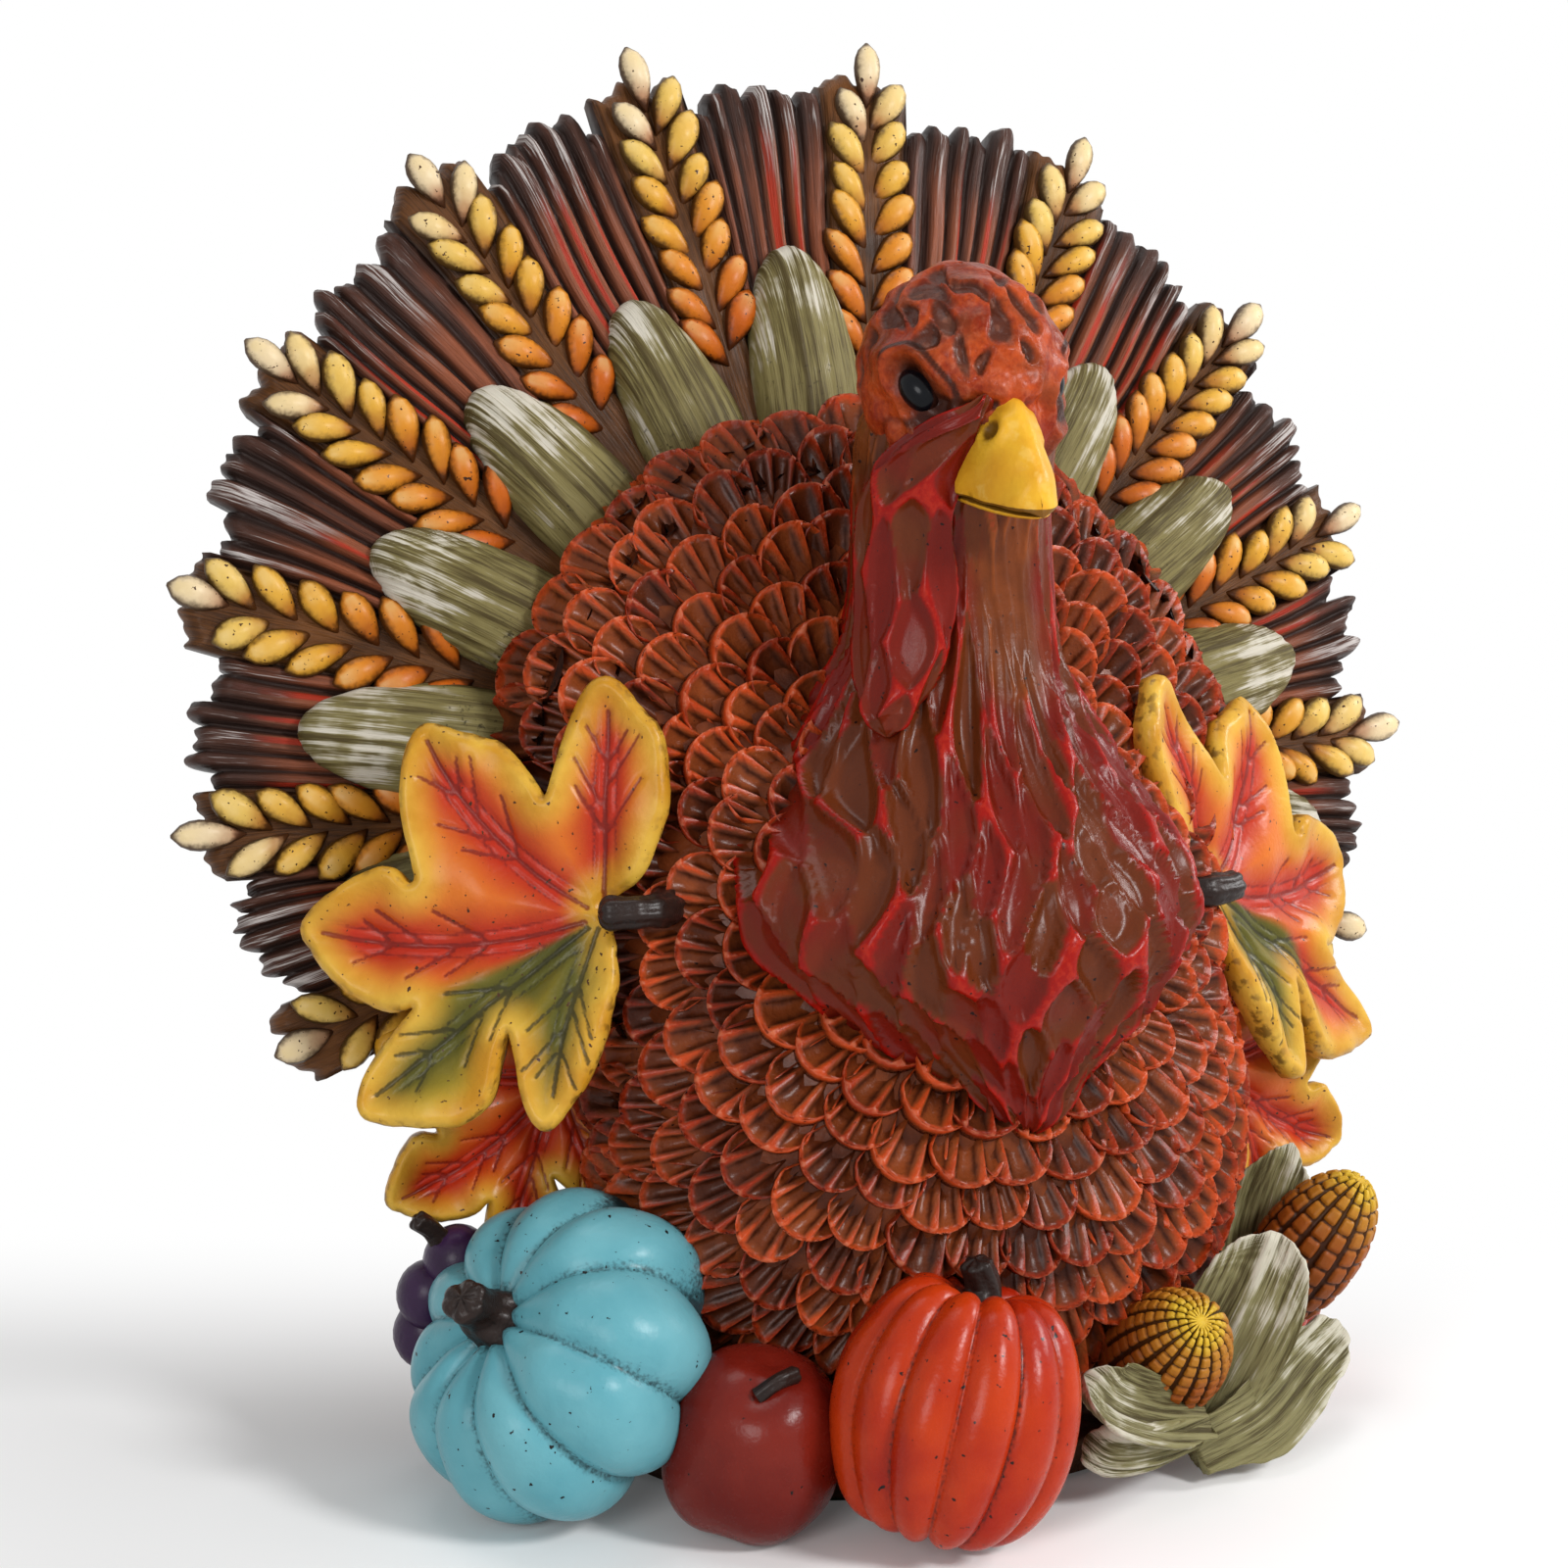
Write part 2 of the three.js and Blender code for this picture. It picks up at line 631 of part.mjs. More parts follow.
function snoodForm() {
  const rings = SNOOD.map(({ drop, x, ahead, halfWidth }) => {
    const outwards = new THREE.Vector3(x, HEAD_Y / 2 - ahead, 0).normalize();
    const across = outwards.clone().cross(UP).negate();
    return ellipseRing({
      centre: new THREE.Vector3(x, HEAD_Y - ahead, HEAD_Z - drop),
      right: across,
      ahead: outwards.clone().negate(),
      halfWidth,
      halfDepth: SNOOD_HALF_THICKNESS,
      points: 10,
    });
  });
  return solid(skin(rings.reverse()));
}

// Tail fan
function tipRadius(angle) {
  return FAN_TIP_RADIUS + FAN_TIP_RISE * Math.cos(angle);
}

// A point of the fan's front: angle from the top, distance from the centre, height in front of it.
function fanPoint(angle, radius, lift) {
  const depth = (FAN_SWEEP * radius) / tipRadius(angle) - lift;
  return new THREE.Vector3(radius * Math.sin(angle), depth, radius * Math.cos(angle))
    .applyAxisAngle(new THREE.Vector3(1, 0, 0), -radians(FAN_LEAN))
    .add(FAN_CENTRE);
}

// Axes of the fan's front at a point: across it, out along it and towards the front.
function fanAxes(angle, radius) {
  const step = 1;
  const outer = fanPoint(angle, radius + step, 0);
  const along = outer.sub(fanPoint(angle, radius, 0)).normalize();
  const across = fanPoint(angle + step / radius, radius, 0).sub(fanPoint(angle, radius, 0)).normalize();
  const front = across.clone().cross(along).normalize();
  return { across: along.clone().cross(front), along, front };
}

function earAngle(index) {
  return (index - (EAR_COUNT - 1) / 2) * EAR_STEP;
}

// Columns of the fan from its first ear to its last: angle, relief and share of the ear's length.
function fanColumns() {
  const columns = [];
  const bark = EAR_STEP - 2 * (STRIP_HALF_ANGLE + STRIP_GROOVE_ANGLE);
  const ridge = bark / BARK_RIDGES;
  for (let ear = 0; ear < EAR_COUNT; ear += 1) {
    const middle = earAngle(ear);
    columns.push({ angle: middle - STRIP_HALF_ANGLE, relief: FAN_RELIEF, end: STRIP_END });
    columns.push({ angle: middle + STRIP_HALF_ANGLE, relief: FAN_RELIEF, end: STRIP_END });
    if (ear === EAR_COUNT - 1) break;
    const start = middle + STRIP_HALF_ANGLE + STRIP_GROOVE_ANGLE;
    for (let k = 0; k < BARK_RIDGES; k += 1) {
      const end = BARK_ENDS[k % BARK_ENDS.length];
      columns.push({ angle: start + k * ridge, relief: 0, end: end - RIDGE_NOTCH });
      columns.push({ angle: start + (k + 0.5) * ridge, relief: FAN_RELIEF, end });
    }
    columns.push({ angle: start + bark, relief: 0, end: STRIP_END - STRIP_NOTCH });
  }
  return columns;
}

// Distance from the centre at which a layer of the fan meets the back of the dome.
function seatRadius(angle, lift) {
  const slope = FAN_SWEEP / tipRadius(angle);
  const a = 1 / DOME_RADIUS ** 2 + (slope / DOME_BACK) ** 2;
  const b = (-2 * slope * lift) / DOME_BACK ** 2;
  const c = (lift / DOME_BACK) ** 2 - 1;
  return (-b + Math.sqrt(b * b - 4 * a * c)) / (2 * a) + 2 * CLEARANCE;
}

function fanSlab(columns) {
  const rings = columns.map(({ angle, relief, end }) => {
    const turn = radians(angle);
    const rim = tipRadius(turn) * end;
    const middle = (relief - FAN_THICKNESS) / 2;
    return [
      fanPoint(turn, seatRadius(turn, middle), middle),
      fanPoint(turn, seatRadius(turn, -FAN_THICKNESS), -FAN_THICKNESS),
      fanPoint(turn, rim, -FAN_EDGE_THICKNESS),
      fanPoint(turn, rim, relief),
      fanPoint(turn, seatRadius(turn, relief), relief),
    ];
  });
  return solid(skin(rings));
}

// A smooth slab as high as the fan's ridges or its ears, which the pieces in front of it rest on.
function fanRest(relief) {
  const reach = EAR_COUNT / 2 + 0.5;
  const columns = [];
  for (let step = -reach; step <= reach; step += 0.5) {
    columns.push({ angle: step * EAR_STEP, relief, end: EAR_OVERHANG });
  }
  return fanSlab(columns);
}

function tenonForm(angle) {
  const turn = radians(angle);
  const length = TENON_DEPTH + TENON_HOLD;
  const bar = new THREE.BoxGeometry(TENON_WIDTH, length, TENON_THICKNESS);
  const { across, along, front } = fanAxes(turn, DOME_RADIUS);
  const lift = -FAN_THICKNESS / 2;
  const middle = fanPoint(turn, DOME_RADIUS + TENON_HOLD - length / 2, lift);
  return solid(placed(bar, middle, across, along, front));
}

// An ear: two rows of pointed grains along a stalk and one grain at the tip, flat behind.
// Across is measured from the stalk, along from the root.
function earForm(index) {
  const turn = radians(earAngle(index));
  const tip = tipRadius(turn);
  const root = tip * EAR_ROOT;
  const pitch = (tip - root - GRAIN_LENGTH) / GRAIN_PAIRS;
  const { across, along, front } = fanAxes(turn, root);
  const origin = fanPoint(turn, root, FAN_RELIEF + CLEARANCE + EAR_BACKING);
  const points = [];
  const faces = [];
  const point = (x, y, z) => {
    const place = origin.clone().addScaledVector(across, x).addScaledVector(along, y);
    points.push(place.addScaledVector(front, z));
    return points.length - 1;
  };
  const face = (side, a, b, c) => faces.push(...(side > 0 ? [a, b, c] : [a, c, b]));
  // The sides of a grain, from a loop of points round its foot up to its crown.
  const grain = (side, loop, crown) => {
    loop.forEach((corner, k) => face(side, corner, loop[(k + 1) % loop.length], crown));
  };
  const stalk = [];
  for (let k = 0; k <= GRAIN_PAIRS; k += 1) stalk.push(point(0, k * pitch, 0));
  const outlines = [];
  for (const side of [-1, 1]) {
    const outline = [];
    for (let k = 0; k <= GRAIN_PAIRS; k += 1) {
      outline.push(point(side * EAR_WAIST, k * pitch + GRAIN_LENGTH / 4, 0));
      const shoulder = k * pitch + GRAIN_LENGTH * GRAIN_SHOULDER;
      if (k < GRAIN_PAIRS) outline.push(point(side * EAR_HALF_WIDTH, shoulder, 0));
    }
    for (let k = 0; k < GRAIN_PAIRS; k += 1) {
      const loop = [stalk[k], outline[2 * k], outline[2 * k + 1], outline[2 * k + 2], stalk[k + 1]];
      const crown = point((side * EAR_HALF_WIDTH) / 2, k * pitch + GRAIN_LENGTH / 2, GRAIN_THICKNESS);
      grain(side, loop, crown);
    }
    outlines.push(outline);
  }
  const [left, right] = outlines;
  const end = GRAIN_PAIRS * 2;
  const peak = point(0, tip - root, 0);
  const crown = point(0, tip - root - GRAIN_LENGTH / 2, GRAIN_THICKNESS);
  grain(1, [stalk[GRAIN_PAIRS], right[end], peak, left[end]], crown);
  // The flat back, and the thin edge round it.
  const behind = points.length;
  const rim = [stalk[0], ...right, peak, ...left.slice().reverse()];
  const back = rim.map((corner) => {
    points.push(points[corner].clone().addScaledVector(front, -EAR_BACKING));
    return points.length - 1;
  });
  const flat = THREE.ShapeUtils.triangulateShape(
    rim.map((corner) => {
      const offset = points[corner].clone().sub(origin);
      return new THREE.Vector2(offset.dot(across), offset.dot(along));
    }),
    [],
  );
  flat.forEach(([a, b, c]) => faces.push(behind + c, behind + b, behind + a));
  rim.forEach((corner, k) => {
    const next = (k + 1) % rim.length;
    faces.push(corner, back[k], back[next], corner, back[next], rim[next]);
  });
  return solid(new THREE.BufferGeometry().setFromPoints(points).setIndex(faces));
}

function huskForm(index) {
  const turn = radians((index - (HUSK_COUNT - 1) / 2) * EAR_STEP);
  const lift = HUSK_THICKNESS / 3;
  const { front } = fanAxes(turn, HUSK_TIP);
  return blade({
    root: fanPoint(turn, HUSK_ROOT, lift),
    tip: fanPoint(turn, HUSK_TIP, lift),
    facing: front,
    halfWidth: HUSK_HALF_WIDTH,
    thickness: HUSK_THICKNESS,
    overlap: 0,
  });
}

// Leaves
function leafShape() {
  const shape = new THREE.Shape();
  const swollen = (a, b, swell) => {
    const along = b.clone().sub(a);
    const outwards = new THREE.Vector2(-along.y, along.x).normalize();
    return a.clone().add(b).multiplyScalar(0.5).addScaledVector(outwards, swell);
  };
  const notches = LEAF_NOTCHES.map((point) => new THREE.Vector2(...point));
  shape.moveTo(notches[0].x, notches[0].y);
  LEAF_LOBES.forEach(({ tip, swell }, k) => {
    const point = new THREE.Vector2(...tip);
    const rise = swollen(notches[k], point, swell[0]);
    const fall = swollen(point, notches[k + 1], swell[1]);
    shape.quadraticCurveTo(rise.x, rise.y, point.x, point.y);
    shape.quadraticCurveTo(fall.x, fall.y, notches[k + 1].x, notches[k + 1].y);
  });
  return shape;
}

// The same shape on the other side of the figure, with its faces still pointing out.
function mirrored(geometry) {
  const whole = geometry.index ? geometry.toNonIndexed() : geometry.clone();
  const corners = whole.scale(-1, 1, 1).attributes.position;
  const second = new THREE.Vector3();
  const third = new THREE.Vector3();
  for (let i = 0; i < corners.count; i += 3) {
    second.fromBufferAttribute(corners, i + 1);
    third.fromBufferAttribute(corners, i + 2);
    corners.setXYZ(i + 1, ...third);
    corners.setXYZ(i + 2, ...second);
  }
  return whole;
}

// A leaf beside the figure: side is 1 on the right in front view and -1 on the left.
function leafForm({ side, origin, turn, lean, roll, scale }) {
  const leaf = new THREE.ExtrudeGeometry(leafShape(), {
    depth: LEAF_THICKNESS,
    bevelEnabled: false,
    curveSegments: LEAF_CURVE_STEPS,
  });
  leaf.translate(0, 0, -LEAF_THICKNESS).scale(scale, scale, 1).rotateZ(radians(roll));
  const out = new THREE.Vector3(Math.cos(radians(turn)), Math.sin(radians(turn)), 0);
  const level = new THREE.Vector3(Math.sin(radians(turn)), -Math.cos(radians(turn)), 0);
  const facing = level.multiplyScalar(Math.cos(radians(lean))).addScaledVector(UP, Math.sin(radians(lean)));
  const rise = facing.clone().cross(out);
  const foot = new THREE.Vector3(Math.abs(origin.x), origin.y, origin.z);
  const onRight = placed(leaf, foot, out, rise, facing);
  return solid(side > 0 ? onRight : mirrored(onRight));
}

function wingStem(side, origin) {
  const root = new THREE.Vector3(side * (TORSO_HALF_WIDTH - WING_STEM_HOLD), TORSO_Y, origin.z);
  const outwards = origin.clone().sub(root).normalize();
  const tip = origin.clone().addScaledVector(outwards, WING_STEM_TIP);
  return post(root, tip, WING_STEM_RADIUS, WING_STEM_TIP);
}

// Harvest
function rimPoint({ bearing, bite, radius, z }) {
  const turn = radians(bearing);
  const out = radius - bite;
  const rim = 1 / Math.hypot(Math.sin(turn) / PLATE_HALF_WIDTH, Math.cos(turn) / PLATE_HALF_DEPTH);
  return new THREE.Vector3((rim + out) * Math.sin(turn), PLATE_Y - (rim + out) * Math.cos(turn), z);
}

function pumpkinForm({ radius, halfHeight, ribs, groove }) {
  const perRib = 4;
  const globe = new THREE.SphereGeometry(1, ribs * perRib, 9).rotateX(Math.PI / 2);
  const corners = globe.attributes.position;
  for (let i = 0; i < corners.count; i += 1) {
    const x = corners.getX(i);
    const y = corners.getY(i);
    const z = corners.getZ(i);
    const level = Math.hypot(x, y);
    const crest = Math.abs(Math.sin((Math.atan2(y, x) * ribs) / 2));
    const reach = radius - groove * (1 - crest);
    const sink = 1 - POLE_DIMPLE * (1 - level) ** 2;
    corners.setXYZ(i, x * reach, y * reach, z * halfHeight * sink);
  }
  return globe;
}

function pumpkin(item, axis) {
  const axes = axesAlong(axis, FRONT);
  return standing(solid(placed(pumpkinForm(item), rimPoint(item), ...axes)));
}

function pumpkinStem(item, axis, lean) {
  const up = axis.clone().normalize();
  const foot = rimPoint(item).addScaledVector(up, item.halfHeight * (1 - POLE_DIMPLE) - STEM_LENGTH / 4);
  const end = foot.clone().addScaledVector(lean.clone().normalize(), STEM_LENGTH);
  return post(foot, end, STEM_RADIUS, STEM_TIP_RADIUS);
}

function appleForm() {
  const { radius, halfHeight } = APPLE;
  const globe = pumpkinForm({ radius, halfHeight, ribs: 5, groove: 0 });
  return standing(solid(globe.translate(...rimPoint(APPLE))));
}

function appleStem() {
  const foot = rimPoint(APPLE);
  foot.z += APPLE.halfHeight * (1 - POLE_DIMPLE) - APPLE_STEM_RADIUS;
  const tip = foot.clone().addScaledVector(vector(APPLE_STEM_LEAN).normalize(), APPLE_STEM_LENGTH);
  return post(foot, tip, APPLE_STEM_RADIUS, APPLE_STEM_RADIUS, 8);
}

function cobForm(item, axis) {
  const { radius, halfLength } = item;
  const globe = new THREE.SphereGeometry(1, COB_ROWS * 2, 8).rotateX(Math.PI / 2);
  const corners = globe.attributes.position;
  for (let i = 0; i < corners.count; i += 1) {
    const x = corners.getX(i);
    const y = corners.getY(i);
    const row = (Math.atan2(y, x) * COB_ROWS) / (2 * Math.PI);
    const reach = radius - COB_GROOVE * 2 * Math.abs(row - Math.round(row));
    corners.setXYZ(i, x * reach, y * reach, corners.getZ(i) * halfLength);
  }
  return standing(solid(placed(globe, rimPoint(item), ...axesAlong(axis, UP))));
}

function huskLeafForm({ cob, root, tip, halfWidth, facing }) {
  const middle = rimPoint(cob);
  return standing(
    blade({
      root: vector(root).add(middle),
      tip: vector(tip).add(middle),
      facing: vector(facing),
      halfWidth,
      thickness: HUSK_LEAF_THICKNESS,
      overlap: HUSK_LEAF_OVERLAP,
    }),
  );
}

function grapesForm() {
  const balls = GRAPES.map((place) => {
    const ball = new THREE.SphereGeometry(GRAPE_RADIUS, 8, 5);
    return solid(ball.translate(...vector(place).add(rimPoint(TEAL))));
  });
  return largest(joined(...balls));
}

function grapeStem() {
  const top = vector(GRAPES[0]).add(rimPoint(TEAL));
  const lean = vector(GRAPE_STEM_LEAN).normalize();
  const from = top.addScaledVector(lean, GRAPE_RADIUS - GRAPE_STEM_RADIUS);
  const to = from.clone().addScaledVector(lean, GRAPE_STEM_LENGTH);
  return post(from, to, GRAPE_STEM_RADIUS, GRAPE_STEM_RADIUS, 8);
}

// The figure
const figure = new THREE.Group();

function subassembly() {
  const group = new THREE.Group();
  figure.add(group);
  return group;
}

function addPiece(group, name, body, paint) {
  const geometry = geometryOf(body);
  geometry.computeBoundingBox();
  const centre = geometry.boundingBox.getCenter(new THREE.Vector3());
  geometry.translate(-centre.x, -centre.y, -centre.z);
  geometry.computeVertexNormals();
  const mesh = new THREE.Mesh(geometry, new THREE.MeshStandardMaterial({ metalness: 0, ...paint }));
  mesh.name = name;
  mesh.position.copy(centre);
  group.add(mesh);
  return body;
}

function numbered(name, index) {
  return `${name}_${String(index + 1).padStart(2, "0")}`;
}

// Base and body
const base = subassembly();
addPiece(base, "felt_pad", feltPad(), PAINT.felt);
const plug = platePlug();
const plate = addPiece(base, "base_plate", basePlate().add(plug), PAINT.ground);

const trunk = subassembly();
const bodyOuter = abovePlate(bodyForm(0, BODY_COLUMNS, BODY_RINGS));
const tenons = TENON_ANGLES.map(tenonForm);
const pegFrom = new THREE.Vector3(0, FAN_Y - DOME_FRONT - BREAST_PEG_LENGTH / 2, BREAST_PEG_Z);
const pegTo = new THREE.Vector3(0, FAN_Y - DOME_FRONT + BREAST_PEG_LENGTH, BREAST_PEG_Z);
const breastPeg = post(pegFrom, pegTo, BREAST_PEG_RADIUS, BREAST_PEG_RADIUS, 14);
const wingOrigins = {
  left: new THREE.Vector3(-TORSO_HALF_WIDTH - WING_STANDOFF.left, WING_Y, WING_Z.left),
  right: new THREE.Vector3(TORSO_HALF_WIDTH + WING_STANDOFF.right, WING_Y, WING_Z.right),
};
const wingStems = {
  left: wingStem(-1, wingOrigins.left),
  right: wingStem(1, wingOrigins.right),
};
const bodyCuts = [plug, ...tenons, breastPeg, wingStems.left, wingStems.right];
const hollow = bodyForm(WALL, 14, 8);
const bodyShell = seated(abovePlate(featheredBody()).subtract(hollow), ...bodyCuts);
addPiece(trunk, "body_shell", bodyShell, PAINT.feather);

// Neck, breast and head
const top = subassembly();
const head = headForm();
const peg = headPeg();
const neck = breastForm();
const breast = seated(neck, bodyOuter, head, peg).add(breastPeg);
addPiece(top, "neck_and_breast", largest(breast), PAINT.breast);
addPiece(top, "head", head.add(peg), PAINT.head);
const beak = addPiece(top, "beak_upper", seated(beakForm(), head, neck), PAINT.beak);
const lowerBeak = addPiece(top, "beak_lower", seated(lowerBeakForm(), head, beak, neck), PAINT.beak);
addPiece(top, "eye_left", seated(eyeForm(-1), head), PAINT.eye);
addPiece(top, "eye_right", seated(eyeForm(1), head), PAINT.eye);
addPiece(top, "snood", seated(snoodForm(), head, beak, lowerBeak, neck), PAINT.breast);

// Tail
const tail = subassembly();
const fan = seated(fanSlab(fanColumns()), bodyOuter);
const earRest = fanRest(FAN_RELIEF + CLEARANCE + EAR_BACKING + GRAIN_THICKNESS);
addPiece(tail, "tail_fan", largest(joined(fan, ...tenons)), PAINT.bark);
const husks = [];
for (let i = 0; i < HUSK_COUNT; i += 1) {
  const husk = seated(huskForm(i), bodyOuter, fanRest(FAN_RELIEF));
  husks.push(addPiece(tail, numbered("husk_feather", i), husk, PAINT.husk));
}
for (let i = 0; i < EAR_COUNT; i += 1) {
  const beside = [husks[i - 1], husks[i]].filter(Boolean);
  addPiece(tail, numbered("wheat_ear", i), seated(earForm(i), bodyOuter, ...beside), PAINT.wheat);
}

// Leaf wings
const wings = subassembly();
const tealAxis = vector(TEAL_AXIS);
const tealForm = pumpkin(TEAL, tealAxis);
const rearForm = pumpkin(REAR, UP);
const rearCobForm = cobForm(REAR_COB, vector(REAR_COB_AXIS));
const lowLeaves = [];
for (const [name, side] of [["left", -1], ["right", 1]]) {
  const origin = wingOrigins[name];
  const stem = addPiece(wings, `leaf_stem_${name}`, wingStems[name], PAINT.stem);
  const wing = leafForm({ side, origin, turn: WING_TURN, lean: WING_LEAN[name], roll: 0, scale: 1 });
  const seatedWing = seated(wing, stem, bodyOuter, earRest, ...husks);
  addPiece(wings, `leaf_wing_${name}`, seatedWing, PAINT.leaf);
  const lowOut = BELLY_HALF_WIDTH + LOW_LEAF_STANDOFF[name];
  const low = leafForm({
    side,
    origin: new THREE.Vector3(side * lowOut, LOW_LEAF_Y, LOW_LEAF_Z[name]),
    turn: LOW_LEAF_TURN,
    lean: LOW_LEAF_LEAN,
    roll: LOW_LEAF_ROLL,
    scale: LOW_LEAF_SCALE,
  });
  const below = [tealForm, rearForm, rearCobForm];
  const seatedLow = seated(low, bodyOuter, earRest, seatedWing, ...below, ...husks);
  lowLeaves.push(addPiece(wings, `lower_leaf_${name}`, seatedLow, PAINT.leaf));
}

// Harvest
const harvest = subassembly();
const orangeAxis = vector(ORANGE_AXIS);
const teal = addPiece(harvest, "teal_pumpkin", seated(tealForm, bodyOuter, plate), PAINT.teal);
const tealStem = pumpkinStem(TEAL, tealAxis, vector(TEAL_STEM_LEAN));
addPiece(harvest, "teal_pumpkin_stem", seated(tealStem, teal), PAINT.stem);
const orangePumpkin = seated(pumpkin(ORANGE, orangeAxis), bodyOuter, plate);
const orange = addPiece(harvest, "orange_pumpkin", orangePumpkin, PAINT.orange);
const orangeStem = pumpkinStem(ORANGE, orangeAxis, vector(ORANGE_STEM_LEAN));
addPiece(harvest, "orange_pumpkin_stem", seated(orangeStem, orange, bodyOuter), PAINT.stem);
const apple = addPiece(harvest, "apple", seated(appleForm(), bodyOuter, plate, teal, orange), PAINT.apple);
addPiece(harvest, "apple_stem", seated(appleStem(), apple), PAINT.stem);
const rear = addPiece(harvest, "rear_pumpkin", seated(rearForm, bodyOuter, plate), PAINT.orange);
const frontCob = addPiece(
  harvest,
  "corn_cob_front",
  seated(cobForm(FRONT_COB, vector(FRONT_COB_AXIS)), bodyOuter, plate, orange),
  PAINT.corn,
);
const rearCob = addPiece(
  harvest,
  "corn_cob_rear",
  seated(rearCobForm, bodyOuter, plate, rear, frontCob),
  PAINT.corn,
);
const around = [bodyOuter, plate, orange, rear, frontCob, rearCob];
HUSK_LEAVES.forEach((leaf, i) => {
  const husk = seated(huskLeafForm(leaf), ...around);
  around.push(addPiece(harvest, numbered("corn_husk", i), husk, PAINT.husk));
});
const bunch = seated(grapesForm(), bodyOuter, plate, teal, ...lowLeaves);
const grapes = addPiece(harvest, "grape_cluster", bunch, PAINT.grape);
addPiece(harvest, "grape_stem", seated(grapeStem(), grapes, teal), PAINT.stem);

export default figure;
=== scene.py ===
"""Thanksgiving turkey figure: the painted resin surfaces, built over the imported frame.

Sizes are in millimetres in the frame's axes, and become metres when a mesh is written.
The figure faces -Y. Left and right are as seen from the front.
"""
import math

import bmesh
import bpy
import numpy as np
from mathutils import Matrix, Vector
from mathutils.geometry import delaunay_2d_cdt


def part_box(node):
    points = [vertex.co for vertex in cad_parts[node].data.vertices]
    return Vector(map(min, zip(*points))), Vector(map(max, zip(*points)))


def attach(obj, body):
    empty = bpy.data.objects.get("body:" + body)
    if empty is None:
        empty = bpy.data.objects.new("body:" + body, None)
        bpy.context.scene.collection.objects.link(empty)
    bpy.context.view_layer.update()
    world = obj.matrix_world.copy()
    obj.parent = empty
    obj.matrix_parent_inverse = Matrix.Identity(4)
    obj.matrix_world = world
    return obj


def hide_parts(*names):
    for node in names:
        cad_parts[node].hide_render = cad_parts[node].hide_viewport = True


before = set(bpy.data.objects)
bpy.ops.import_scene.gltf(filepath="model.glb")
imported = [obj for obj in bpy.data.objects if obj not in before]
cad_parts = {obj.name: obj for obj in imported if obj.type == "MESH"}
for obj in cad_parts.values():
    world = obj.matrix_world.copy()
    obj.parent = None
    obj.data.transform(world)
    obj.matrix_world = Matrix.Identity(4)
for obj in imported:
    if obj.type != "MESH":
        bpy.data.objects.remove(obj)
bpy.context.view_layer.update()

MM = 0.001
TURN = 2 * math.pi
TINY = 1e-9
WELD = 1e-6
THINNEST = 0.1
X_AXIS, Y_AXIS, Z_AXIS = np.eye(3)

# The photograph's camera
CAMERA_AZIMUTH = -24.19
CAMERA_ELEVATION = 11.52
CAMERA_DISTANCE = 660.0
CAMERA_SENSOR = 36.0
CAMERA_LENS = 85.2
CAMERA_SIDE = -15.65
CAMERA_RISE = 2.06

# Lamps: place, width and power
LAMPS = {
    "key": ((500, -1000, 800), 320, 11.5),
    "fill": ((-800, -800, 500), 500, 4.4),
    "side": ((950, -150, 550), 320, 5.2),
    "top": ((-100, 200, 1200), 600, 2.6),
}
LAMP_TARGET = (0, 0, 100)
SURROUND_LIGHT = 0.3

# Floor: half its width, the share of its own white, and where it fades into the surround, in metres
# from its middle and behind it
FLOOR_HALF = 3000
FLOOR_GLOW = 0.05
FLOOR_FADE = (0.14, 0.27)
FLOOR_BACK = (0.41, 0.91, 0.0)
FLOOR_BACK_FADE = (-0.01, 0.11)

# Body lumps: middle, half width, reach to the front and back, half height and lean in degrees
FAN_CENTRE = np.array([0.0, 24.0, 110.0])
FAN_LEAN = 15.4
BELLY = {"middle": (0, 2, 52), "width": 59, "front": 43, "back": 36, "height": 56, "lean": 0}
TORSO = {"middle": (0, 8, 90), "width": 56, "front": 31, "back": 26, "height": 46, "lean": 0}
DOME = {"middle": FAN_CENTRE, "width": 73, "front": 27, "back": 30, "height": 73, "lean": FAN_LEAN}
BODY_LUMPS = (BELLY, TORSO, DOME)
BODY_BLEND = 9.0
BODY_CORE = np.array([0.0, 12.0, 85.0])
BODY_REACH = 140.0
BODY_HALVINGS = 40
SLOPE_STEP = 0.5
PLATE_TOP = 7.0

# Body feathers, in rings round the breast and round the back
FEATHER_WIDTH = 13.2
FEATHER_PITCH = 11.0
FEATHER_ROW = 7.6
FEATHER_FOLDS = (3, 4, 3, 4)
FEATHER_ARC = math.radians(84)
FEATHER_ROOT = 0.62
FEATHER_TILT = 0.2
# Each row of a feather: share of its length, height, depth of the hollows and how bright its ridges are,
# dimmed towards the root and under the lip as painted shade
FEATHER_ROWS = (
    (0.0, -0.3, 0.0, 0.0), (0.42, 0.36, 0.9, 0.4), (0.72, 0.6, 1.0, 0.8),
    (0.88, 0.66, 0.75, 1.0), (0.96, 0.58, 0.0, 1.0), (1.0, -0.15, 0.0, 0.1),
)
# Each column of a fold: place across it, depth, and painted shade at the foot of the hollow's walls
FOLD_PLACES = (0, 0.2, 0.5, 0.8)
FOLD_DEPTHS = (0, 0.8, 1, 0.8)
FOLD_SHADE = (0, 1, 0, 1)
HOLLOW_DEPTH = 0.44
FEATHER_FOOT = -0.3
FEATHER_POLE = np.array([0.0, 12.0, 106.0])
FRONT_REACH = (30.0, 150.0)
BACK_REACH = (6.0, 112.0)
RING_STEPS = 360
RING_TILTS = (0.02, 2.9)
TILT_STEPS = 420
FEWEST_IN_RING = 3
FEATHER_JITTER = 0.07
FEATHER_LOWEST = 10.0
FEATHER_SEED = 11
